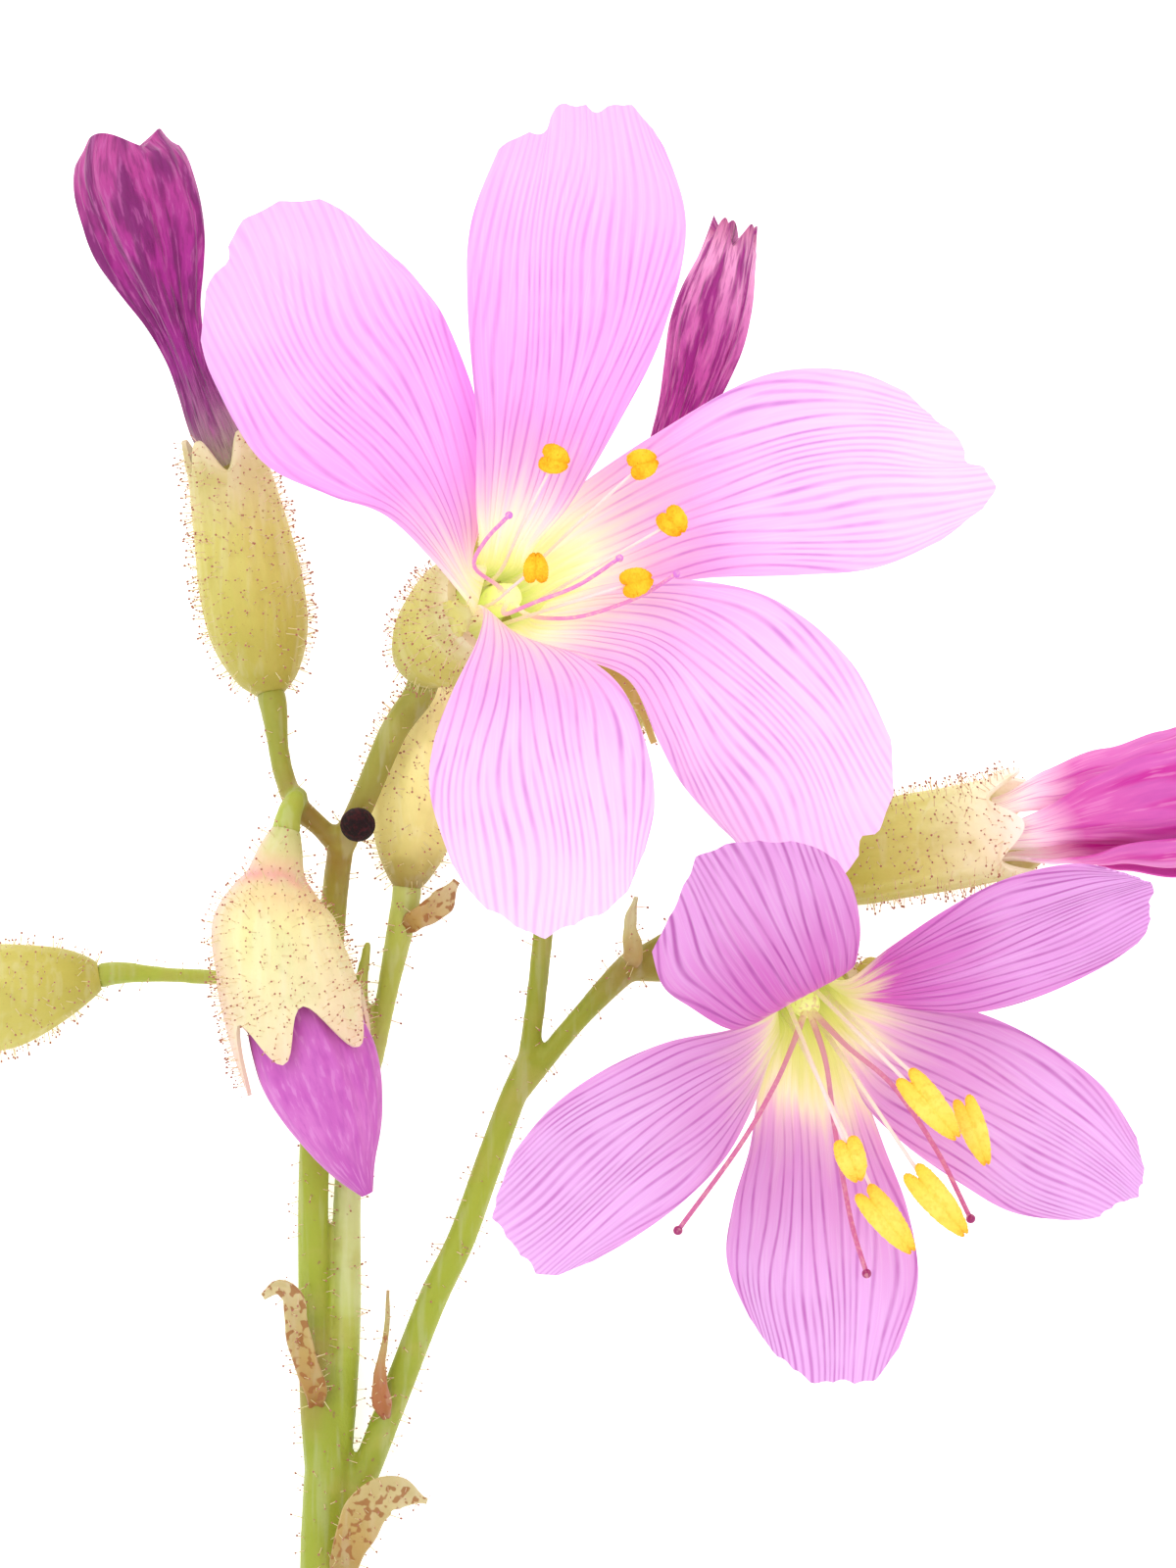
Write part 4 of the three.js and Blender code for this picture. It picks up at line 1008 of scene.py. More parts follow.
    # seen as white tissue that turns vivid magenta in bands, with a painted glow that brightens it
    FUNNEL_PETAL = Coat(Slot.PETAL_MAUVE, StreakedFinish(
        "half-open petal, white to magenta",
        ((0.0, "#fff6e8"), (0.12, "#fff2f0"), (0.21, "#fbcbe4"), (0.32, "#e064bc"), (1.0, "#da62c4")),
        band="#ce14a0", line="#cc50b4", pale="#f098d4", bands=5, strength=1.0, start=0.16, relief_mm=0.05,
        translucent=0.25, glow=0.1,
    ))
    # seen as deep mauve petals, furled tight
    NODDING_PETAL = Coat(Slot.PETAL_MAUVE, StreakedFinish(
        "furled mauve petals",
        ((0.0, "#b850b0"), (0.35, "#d66cca"), (0.7, "#dc76ce"), (1.0, "#c65ab8")),
        band="#c84cbc", line="#c254ba", pale="#e898de", bands=14, strength=0.45, relief_mm=0.04,
        translucent=0.2,
    ))
    # seen as a crumpled dark magenta corolla on a pale, dry foot
    WITHERED_LEFT = Coat(Slot.WITHERED, StreakedFinish(
        "withered corolla, magenta",
        ((0.0, "#c9bca4"), (0.17, "#a05888"), (0.3, "#a01a8a"), (0.6, "#b01c92"), (1.0, "#c24296")),
        band="#80006c", line="#7a0464", pale="#cc62ae", bands=16, strength=0.9,
    ))
    # seen as a lighter corolla, dull pink at its dry tips, with a faint painted glow
    WITHERED_RIGHT = Coat(Slot.WITHERED, StreakedFinish(
        "withered corolla, mauve with dry tips",
        ((0.0, "#9a5a8c"), (0.45, "#c63ca2"), (0.7, "#e074bc"), (0.9, "#ffb0dc"), (1.0, "#c86890")),
        band="#a20084", line="#960c7a", pale="#e486c0", bands=16, strength=0.95, glow=0.05,
    ))
    # seen as bright pollen that clothes every anther, with a painted glow
    ANTHER = Coat(Slot.ANTHER, PlainFinish(
        "anther with yellow pollen",
        ((0.0, "#fdbe18"), (0.5, "#ffcc2c"), (1.0, "#fdbe18")),
        grain="#f8a80c", roughness=0.95, grain_mm=0.5, relief_mm=0.1, translucent=0.1, glow=0.15,
    ))
    # seen as paler, golden pollen, with a painted glow
    PALE_ANTHER = Coat(Slot.ANTHER, PlainFinish(
        "anther with pale golden pollen",
        ((0.0, "#ffd040"), (0.5, "#ffdc64"), (1.0, "#ffce44")),
        grain="#fcc444", roughness=0.95, grain_mm=0.4, relief_mm=0.06, translucent=0.1, glow=0.15,
    ))
    # seen as glassy threads, yellowish in the throat, with a painted glow
    FILAMENT = Coat(Slot.FILAMENT, PlainFinish(
        "filament, cream",
        ((0.0, "#dfe78c"), (0.35, "#f2e8c4"), (1.0, "#f8dfe6")),
        grain="#f2d8dc", glow=0.1,
    ))
    # seen as a pale green ovary and rosy threads that end in mauve knobs, with a strong painted glow against
    # the throat's shade
    PISTIL = Coat(Slot.PISTIL, PlainFinish(
        "ovary and styles, green to rose",
        ((0.0, "#dff07a"), (0.1, "#ecf2aa"), (0.25, "#e6c6b4"), (0.4, "#d484b0"), (0.9, "#cc78b8"),
         (1.0, "#c470c4")),
        grain="#dcb4a8", translucent=0.1, glow=0.35,
    ))
    # seen as rosier threads that end in dark knobs, with a strong painted glow against the throat's shade
    DARK_PISTIL = Coat(Slot.PISTIL, PlainFinish(
        "ovary and styles, rose with dark ends",
        ((0.0, "#dff07a"), (0.1, "#e8eca2"), (0.2, "#cf9aa0"), (0.5, "#c0668e"), (0.93, "#b8558a"),
         (0.97, "#98206e"), (1.0, "#8c1458")),
        grain="#cc9098", translucent=0.1, glow=0.3,
    ))
    # seen as a dark dot on the joint
    BEAD = Coat(Slot.BEAD, PlainFinish(
        "dried sap bead, near black",
        ((0.0, "#140203"), (1.0, "#1a0406")),
        grain="#4c0c14", roughness=1.0, grain_mm=0.3, relief_mm=0.12, translucent=0.0,
    ))
    # seen as a faint halo round green parts, with a painted glow
    HAIR_STALK = Coat(Slot.STEM, PlainFinish(
        "gland hair, pale",
        ((0.0, "#dcd498"), (1.0, "#e6c6a8")),
        grain="#dccc98", glow=0.1,
    ))
    # seen as reddish-brown dots at the ends of the hairs, with a faint painted glow
    HAIR_HEAD = Coat(Slot.STEM, PlainFinish(
        "gland head, sticky red-brown",
        ((0.0, "#bc7866"), (1.0, "#aa6a54")),
        grain="#ae7452", roughness=0.35, glow=0.05,
    ))


class Bench:
    """Puts pieces into the scene and tells the frame about them."""

    def __init__(self) -> None:
        """Starts with no material built."""
        self.built: dict[Dress, bpy.types.Material] = {}

    def material(self, dress: Dress) -> bpy.types.Material:
        """Builds a finish once.

        Args:
            dress: The finish.

        Returns:
            Its material.
        """
        if dress not in self.built:
            self.built[dress] = dress.value.finish.made()
        return self.built[dress]

    def put(self, node: str, shape: Shape, dress: Dress) -> bpy.types.Object:
        """Places a finer piece in the stead of a node.

        Args:
            node: The node that it stands for.
            shape: Its form.
            dress: Its finish.

        Returns:
            The piece.
        """
        piece = shape.made(f"{node}_fine", self.material(dress))
        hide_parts(node)
        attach(piece, "root")
        LOG.info("%s: %d faces, %s", node, len(shape.faces), dress.value.finish.name)
        return piece


# Open flowers


@dataclass(frozen=True)
class Facing:
    """Where an open flower's throat is and which way it faces.

    Attributes:
        throat: Its place.
        lean_to: The way that it leans, in degrees anticlockwise from the sheet's right.
        lean: How far it leans from upright, in degrees.
    """

    throat: Point
    lean_to: float
    lean: float

    def at(self, degrees: float, radius: float, depth: float) -> np.ndarray:
        """Gives a point round the flower's axis.

        Args:
            degrees: Angle from the side that it leans to.
            radius: Distance from the axis.
            depth: Depth below the throat.

        Returns:
            The point.
        """
        across, tilt, angle = (math.radians(one) for one in (self.lean_to, self.lean, degrees))
        level = math.sin(tilt)
        axis = np.array([level * math.cos(across), level * math.sin(across), math.cos(tilt)])
        side = np.array([-math.sin(across), math.cos(across), 0])
        down = np.cross(side, axis)
        outwards = math.cos(angle) * down + math.sin(angle) * side
        return np.asarray(self.throat) - depth * axis + radius * outwards


@dataclass(frozen=True)
class Petal:
    """A petal's place round the throat and its edges.

    Attributes:
        angle: Its place, in degrees.
        crown: How far its middle stands above its edges.
        left: Its left edge.
        right: Its right edge.
        top: Its far edge as seen from above.
        dress: Its finish.
        blush: How far its colours are moved towards the foot, as a share of the longest petal.
    """

    angle: float
    crown: float
    left: Sequence[Point]
    right: Sequence[Point]
    top: Sequence[tuple[float, float]]
    dress: Dress
    blush: float = 0.0


@dataclass(frozen=True)
class Ruffle:
    """How an open flower's petals depart from a plain surface between their edges.

    Attributes:
        reach: Where the far edge lies, as a share of the side edges' length.
        corner: How far its corners are drawn in, as a share.
        nibbles: Coarse and fine nibbles of the far edge, each as (depth as a share, how many).
        ripple: Height of the waves along the side edges, in mm.
        waves: How many waves lie along an edge, and how far they slant.
        pleats: Lengthwise pleats, as (depth in mm, how many).
        frills: Pleats of the far edge alone, as (depth in mm, how many).
    """

    thickness: float = 0.34
    steps: tuple[int, int] = (60, 44)
    reach: float = 1.004
    corner: float = 0.03
    nibbles: tuple[Span, Span] = ((0.006, 9), (0.005, 23))
    ripple: float = 0.25
    waves: Span = (1.6, 0.3)
    pleats: Span = (0.09, 5)
    frills: Span = (0.12, 3.3)


@dataclass(frozen=True)
class Anther:
    """An anther and its filament.

    Attributes:
        angle: The filament's place round the throat, in degrees.
        centre: Where the anther is.
        along: Half its length, as a vector.
        radius: Its size.
        rise: How much the filament bows, as a share of its length.
    """

    angle: float
    centre: Point
    along: Point
    radius: float
    rise: float = 0.08


@dataclass
class OpenFlower:
    """An open flower: calyx, five petals, five stamens and three styles.

    Sizes are in mm, and depths are measured down from the throat along the flower's axis.

    Attributes:
        line: The middle line of its calyx.
        plain_sepals: Angles of the sepals that the petals hide.
        shown_sepal: Angle of the one that shows between them, at shown_points.
        foot: Radius, depth and half angle of a petal's foot.
        collar: The same where its claw leaves the throat.
        overlap: How far neighbouring claws lie apart.
        bell: The calyx's profile, and bell_hole its inner radius.
        sepal_run: Radii and depths of a hidden sepal, from sepal_root on.
        folded_sepal: Angle of the one that is folded up, along folded_run.
        disc: Depths of the receptacle's foot and top, and its profile.
        filament_depths: Where a filament starts and where it leaves the throat.
        filament_taper: Its radii in thread radii.
        ovary: Depths of the ovary's foot and top, and its profile.
        sac: Profile of a pollen sac in anther radii, and grain how rough it is.
    """

    name: str
    facing: Facing
    line: Sequence[Point]
    petals: dict[str, Petal]
    plain_sepals: Sequence[float]
    shown_sepal: float
    shown_points: Sequence[Point]
    anthers: Sequence[Anther]
    styles: Sequence[Sequence[Point]]
    foot: tuple[float, float, float] = (2.55, 6.3, 38)
    collar: tuple[float, float, float] = (2.75, 3.6, 42)
    overlap: float = 0.28
    ruffle: Ruffle = Ruffle()
    mouth_depth: float = 4.3
    floor_depth: float = 7.05
    bell: Profile = ((0.9, 0), (1.6, 0.04), (2.35, 0.12), (3.2, 0.28), (3.6, 0.5), (3.92, 0.8), (3.95, 1))
    bell_hole: float = 3.32
    sepal_root: Span = (3.5, 5.3)
    sepal_run: Profile = ((4.6, 3.9), (6.3, 3.0), (8.6, 2.2))
    folded_sepal: float = 180
    folded_run: Profile = ((3.9, 4.2), (3.9, 3.2), (3.8, 2.4))
    sepal_widths: Sequence[float] = (0.4, 1.2, 1.05, 0.3)
    shown_widths: Sequence[float] = (0.45, 0.5, 0.42, 0.2)
    sepal_thickness: float = 0.45
    sepal_cup: float = 0.1
    disc: tuple[float, float, Profile] = (6.7, 6.1, ((1.5, 0), (1.6, 0.4), (1.3, 1)))
    filament_circle: float = 1.62
    filament_depths: Span = (6.4, 2.8)
    filament_taper: Sequence[float] = (1.7, 1.3, 1.0, 1.0, 0.9)
    thread: float = 0.11
    ovary: tuple[float, float, Profile] = (
        5.8, 2.6, ((0.7, 0), (1.0, 0.3), (1.0, 0.65), (0.7, 0.93), (0.1, 1)),
    )
    style: float = 0.13
    style_depth: float = 3.2
    sac: Profile = (
        (0.12, 0), (0.45, 0.05), (0.7, 0.2), (0.8, 0.4), (0.74, 0.68), (0.45, 0.88), (0.2, 0.97), (0.05, 1),
    )
    grain: float = 0.022
    pistil_dress: Dress = Dress.PISTIL
    pollen: Dress = Dress.ANTHER

    def petal(self, petal: Petal) -> Shape:
        """Makes a petal: a wide blade with lengthwise pleats on a narrow claw.

        Args:
            petal: Its edges.

        Returns:
            The petal.
        """

        def claw(side: int) -> list[np.ndarray]:
            """Gives the foot and the collar of an edge, the left one outside its neighbour."""
            return [
                self.facing.at(petal.angle + side * angle, radius + side * self.overlap, depth)
                for radius, depth, angle in (self.foot, self.collar)
            ]

        ruffle = self.ruffle
        (deep, few), (shallow, many) = ruffle.nibbles
        left, right = Curve([*claw(1), *petal.left]), Curve([*claw(-1), *petal.right])
        ends = np.array([petal.left[-1][:2], petal.right[-1][:2]], float)
        top = Curve(np.vstack([ends[:1], petal.top, ends[1:]]))

        def surface(u: np.ndarray, v: np.ndarray) -> np.ndarray:
            """Gives points between the edges, drawn out to the far edge and ruffled.

            Args:
                u: Shares along.
                v: Shares across.

            Returns:
                The points.
            """
            w = 2 * v - 1
            coarse, fine = deep * np.abs(np.sin(few * v + petal.angle)), shallow * np.abs(np.sin(many * v))
            u = u * (ruffle.reach - ruffle.corner * w**8 - coarse - fine)
            points = left.by_station(u) * (1 - v[..., None]) + right.by_station(u) * v[..., None]
            straight = ends[0] * (1 - v[..., None]) + ends[1] * v[..., None]
            points[..., :2] += (u**5)[..., None] * (top.at(v) - straight)
            arch = petal.crown * (1 - w * w) * np.minimum(1, 2.5 * u * u)
            phase = math.tau * (ruffle.waves[0] * u + ruffle.waves[1] * w)
            wave = ruffle.ripple * u * u * w * w * np.sin(phase)
            pleat = ruffle.pleats[0] * u * (1 - u**6) * np.sin(math.tau * ruffle.pleats[1] * v)
            frill = ruffle.frills[0] * u**4 * np.sin(math.tau * ruffle.frills[1] * v + 2 * petal.angle)
            points[..., 2] += arch + wave + (pleat + frill)
            return points

        made = blade(surface, *ruffle.steps, ruffle.thickness)
        made.marks[:, 0] += petal.blush
        return made

    def calyx(self) -> Shape:
        """Makes the bell and the sepals that grow from its rim.

        Returns:
            The calyx.
        """
        floor = 1 - (self.floor_depth - self.mouth_depth) / Curve(self.line).length
        inside = [(self.bell_hole, 1), (self.bell_hole, floor), (LEAST_RADIUS, floor)]
        bell = turned(self.line, self.bell, inside, hairy=(0.4, 1))
        sepals = []
        for angle in self.plain_sepals:
            run = self.folded_run if angle == self.folded_sepal else self.sepal_run
            line = [self.facing.at(angle, *place) for place in (self.sepal_root, *run)]
            sepal = strap(line, self.sepal_widths, self.sepal_thickness, self.sepal_cup)
            sepals.append(sepal.marked(0.3, 0.8))
        line = [self.facing.at(self.shown_sepal, *self.sepal_root), *self.shown_points]
        shown = strap(line, self.shown_widths, self.sepal_thickness, self.sepal_cup)
        return Shape.joined([bell, *sepals, shown.marked(0, 0.4)])

    def heart(self) -> Shape:
        """Makes the receptacle and the five filaments.

        Returns:
            The one form.
        """
        low, high, profile = self.disc
        disc = turned([self.facing.at(0, 0, low), self.facing.at(0, 0, high)], profile).marked(0, 0.1)
        start, leave = self.filament_depths
        radii = [share * self.thread for share in self.filament_taper]
        threads = []
        for one in self.anthers:
            collar = self.facing.at(one.angle, self.filament_circle, leave)
            head = np.asarray(one.centre, float)
            length = np.linalg.norm(collar - head)
            end = head + 0.35 * one.radius * (collar - head) / length
            middle = collar + 0.45 * (end - collar) + np.array([0, 0, one.rise * length])
            foot = self.facing.at(one.angle, self.filament_circle - 0.1, start)
            threads.append(rod([foot, collar, middle, end], radii, 40, 10))
        return Shape.joined([disc, *threads])

    def pistil(self) -> Shape:
        """Makes the ovary and the three styles, each with a small knob at its end.

        Returns:
            The one form.
        """
        low, high, profile = self.ovary
        ends = [self.facing.at(0, 0, low), self.facing.at(0, 0, high)]
        ovary = turned(ends, profile, turning=Turning(pleats=0.05)).marked(0, 0.1)
        root, radii = self.facing.at(0, 0, self.style_depth), [1.4 * self.style, *[self.style] * 3]
        threads = [rod([root, *points], radii, 60, 12).marked(0.1, 0.96) for points in self.styles]
        knobs = [ball(points[-1], 1.9 * self.style).marked(0.99, 1) for points in self.styles]
        return Shape.joined([ovary, *threads, *knobs])

    def anther(self, one: Anther) -> Shape:
        """Makes an anther: two rough pollen sacs, farther apart at the upper end.

        Args:
            one: The anther.

        Returns:
            The anther.
        """
        run, centre = np.asarray(one.along, float), np.asarray(one.centre, float)
        side = np.array([-run[1], run[0], 0])
        side *= 0.5 * one.radius / np.linalg.norm(side)
        reach = run * (1 + 0.4 * one.radius / np.linalg.norm(run))
        skin = [(radius * one.radius, share) for radius, share in self.sac]
        turning = Turning(sides=36, pleats=0.05, creases=0.03, twist=1.5)
        grains = np.random.default_rng(int(100 * abs(one.centre[0])))
        sacs = []
        for way in (1, -1):
            foot, tip = centre + way * 1.4 * side - reach, centre + way * 0.45 * side + reach
            sac = turned([foot, centre + way * side, tip], skin, turning=turning)
            sac.points += grains.normal(0, self.grain, sac.points.shape)
            sacs.append(sac)
        return Shape.joined(sacs)

    def build(self, bench: Bench) -> list[bpy.types.Object]:
        """Builds and dresses the flower.

        Args:
            bench: Where the pieces are put.

        Returns:
            The pieces that gland hairs grow on.
        """
        calyx = bench.put(f"{self.name}_calyx", self.calyx(), Dress.CALYX)
        for place, petal in self.petals.items():
            bench.put(f"{self.name}_petal_{place}", self.petal(petal), petal.dress)
        bench.put(f"{self.name}_heart", self.heart(), Dress.FILAMENT)
        bench.put(f"{self.name}_pistil", self.pistil(), self.pistil_dress)
        for i, one in enumerate(self.anthers):
            bench.put(f"{self.name}_anther_{i + 1}", self.anther(one), self.pollen)
        return [calyx]


FACING_1 = Facing(throat=(34.2, 62.6, 19), lean_to=22, lean=35)
FACING_2 = Facing(throat=(52.5, 34.4, 15.5), lean_to=-55, lean=35)

# the middle line of every calyx, from its foot to its rim or tip
CALYX_LINES: dict[str, Sequence[Point]] = {
    "flower_1": [
        (27.0, 56.7, 7.7), (27.5, 58.2, 8.8), (28.8, 59.8, 10.6),
        FACING_1.at(0, 0, 8), FACING_1.at(0, 0, 4.3),
    ],
    "flower_2": [(47.6, 41.4, 4.1), (48.5, 40.3, 6.0), FACING_2.at(0, 0, 8), FACING_2.at(0, 0, 4.3)],
    "flower_3": [
        (50.6, 43.9, 2.8), (53.4, 45.0, 2.9), (57.2, 45.9, 3.1), (61.2, 46.6, 3.7), (66.0, 47.6, 4.6),
    ],
    "spent_left": [
        (17.2, 55.8, 4.4), (16.4, 60.0, 3.5), (15.5, 65.0, 3.2), (14.6, 69.4, 3.4), (13.8, 72.5, 3.8),
    ],
    "spent_right": [
        (37.1, 50.5, 3.2), (37.9, 54.1, 3.1), (39.1, 58.1, 3.1), (40.2, 62.2, 3.1), (41.1, 65.8, 3.3),
    ],
    "nodding": [
        (18.2, 47.0, 7.6), (17.6, 44.2, 8.2), (17.4, 41.2, 8.4),
        (18.0, 38.1, 8.4), (18.9, 35.0, 8.3), (20.1, 31.6, 8.0),
    ],
    "far_left": [(6.2, 37.7, 3.0), (3.8, 37.3, 3.0), (0.0, 36.4, 3.1), (-3.8, 35.8, 3.1), (-6.9, 35.3, 3.1)],
    "hidden": [(25.9, 43.4, 2.8), (26.3, 46.9, 2.8), (26.9, 50.6, 2.8), (27.5, 54.1, 2.8), (28.0, 57.2, 2.8)],
}


FLOWER_1 = OpenFlower(
    "flower_1",
    facing=FACING_1,
    line=CALYX_LINES["flower_1"],
    petals={
        "upper_left": Petal(
            angle=144, crown=0.8, dress=Dress.PINK_PETAL, blush=0.1,
            left=[(29.4, 62.1, 19.2), (25.0, 66.8, 21.5), (21.1, 68.3, 22.8), (16.8, 70.5, 24),
                  (13.8, 75.6, 25), (12.9, 78.6, 25.2)],
            right=[(30.1, 64.3, 17.8), (31.0, 68.1, 19.2), (30.6, 73.5, 20.3), (28.6, 79.1, 22),
                   (27.0, 81.5, 23), (25.4, 83.2, 24)],
            top=[(13.6, 82.1), (14.8, 83.2), (14.8, 84.4), (16.8, 86.4), (19.2, 87.1), (21.8, 86.4)],
        ),
        "upper": Petal(
            angle=72, crown=-0.8, dress=Dress.PINK_PETAL,
            left=[(30.6, 65.5, 20.0), (30.4, 68.0, 20.8), (30.4, 73.5, 22.6), (29.9, 79.9, 23.8),
                  (30.1, 85.5, 23.6), (32.3, 91.3, 22.4)],
            right=[(34.2, 65.2, 18.8), (36.4, 67.8, 20), (39.5, 73.0, 21.8), (42.2, 78.5, 22.8),
                   (43.7, 85.5, 22.8), (41.8, 91.8, 21.8)],
            top=[(33.8, 91.4), (34.9, 91.6), (35.5, 92.9), (37.1, 93.2), (38.1, 92.8), (40.2, 93.1)],
        ),
        "right": Petal(
            angle=0, crown=-0.6, dress=Dress.PALEST_PETAL,
            left=[(33.9, 65.6, 16.7), (36.4, 68.5, 17.3), (42.1, 72.4, 17.4), (48.5, 75.9, 16.4),
                  (54.0, 76.3, 14.6), (58.4, 74.7, 12.6)],
            right=[(36.4, 61.9, 15.9), (40.2, 62.3, 15.7), (45.0, 63.1, 15.2), (50.9, 63.3, 14.6),
                   (56.0, 63.8, 13.2), (61.2, 66.1, 11.6)],
            top=[(59.6, 73.4), (61.1, 72.1), (61.8, 70.6), (63.1, 70.0), (63.3, 68.3)],
        ),
        "lower_right": Petal(
            angle=-72, crown=-0.4, dress=Dress.PALEST_PETAL, blush=0.05,
            left=[(35.4, 61.7, 17.4), (39.5, 62.8, 18.6), (44.4, 62.9, 19.2), (49.5, 61.6, 19.2),
                  (54.2, 57.7, 18.2), (57.3, 51.6, 16.6)],
            right=[(34.0, 58.6, 17.4), (37.2, 57.9, 18.6), (40.2, 56.5, 19.6), (41.9, 52.9, 19.6),
                   (43.6, 49.8, 19), (46.5, 46.7, 18)],
            top=[(56.9, 48.6), (55.8, 46.9), (54.9, 46.5), (54.2, 44.1), (51.2, 43.6), (48.4, 44.7)],
        ),
        "lower": Petal(
            angle=-144, crown=0.3, dress=Dress.PALEST_PETAL, blush=0.14,
            left=[(33.8, 58.7, 19.2), (36.8, 58.2, 20.6), (39.5, 56.2, 22.3), (41.1, 52.7, 24.6),
                  (41.7, 48.8, 26.4), (40.9, 45.0, 27)],
            right=[(30.9, 60.9, 18.9), (30.4, 58.9, 20.4), (28.9, 55.8, 22.8), (27.7, 52.4, 25),
                   (27.6, 49.0, 26.6), (29.3, 43.9, 27.4)],
            top=[(39.6, 42.6), (36.8, 41.1), (34.9, 40.2), (33.2, 40.9), (30.8, 42.2)],
        ),
    },
    plain_sepals=(36, 108, 180, -36),
    shown_sepal=-108,
    shown_points=[(34.6, 57.6, 15.8), (38.6, 57.4, 16.4), (40.7, 55.0, 16.8), (41.7, 52.6, 16.8)],
    anthers=[
        Anther(108, (35.4, 70.5, 23.6), (0.6, -0.2, 0), 0.69, 0.2),
        Anther(36, (41.0, 70.3, 20.6), (0.6, 0.2, 0), 0.71),
        Anther(-36, (42.9, 66.6, 19.8), (0.4, -0.5, 0), 0.69, 0.14),
        Anther(180, (34.2, 63.7, 20.8), (0, 0.7, 0), 0.58),
        Anther(-108, (40.6, 62.8, 21.8), (0.7, 0.2, 0), 0.68, 0.15),
    ],
    styles=[
        [(31.75, 62.6, 18.0), (30.3, 63.8, 20.9), (31.0, 65.4, 22.0), (32.5, 67.0, 22.8)],
        [(32.2, 60.8, 18.3), (34.1, 61.5, 20.4), (36.9, 62.6, 21.2), (39.5, 64.3, 21.6)],
        [
            (33.55, 60.8, 16.95), (35.4, 60.5, 18.85), (37.6, 60.75, 19.6),
            (40.8, 61.9, 20.2), (43.1, 63.3, 20.5),
        ],
    ],
)

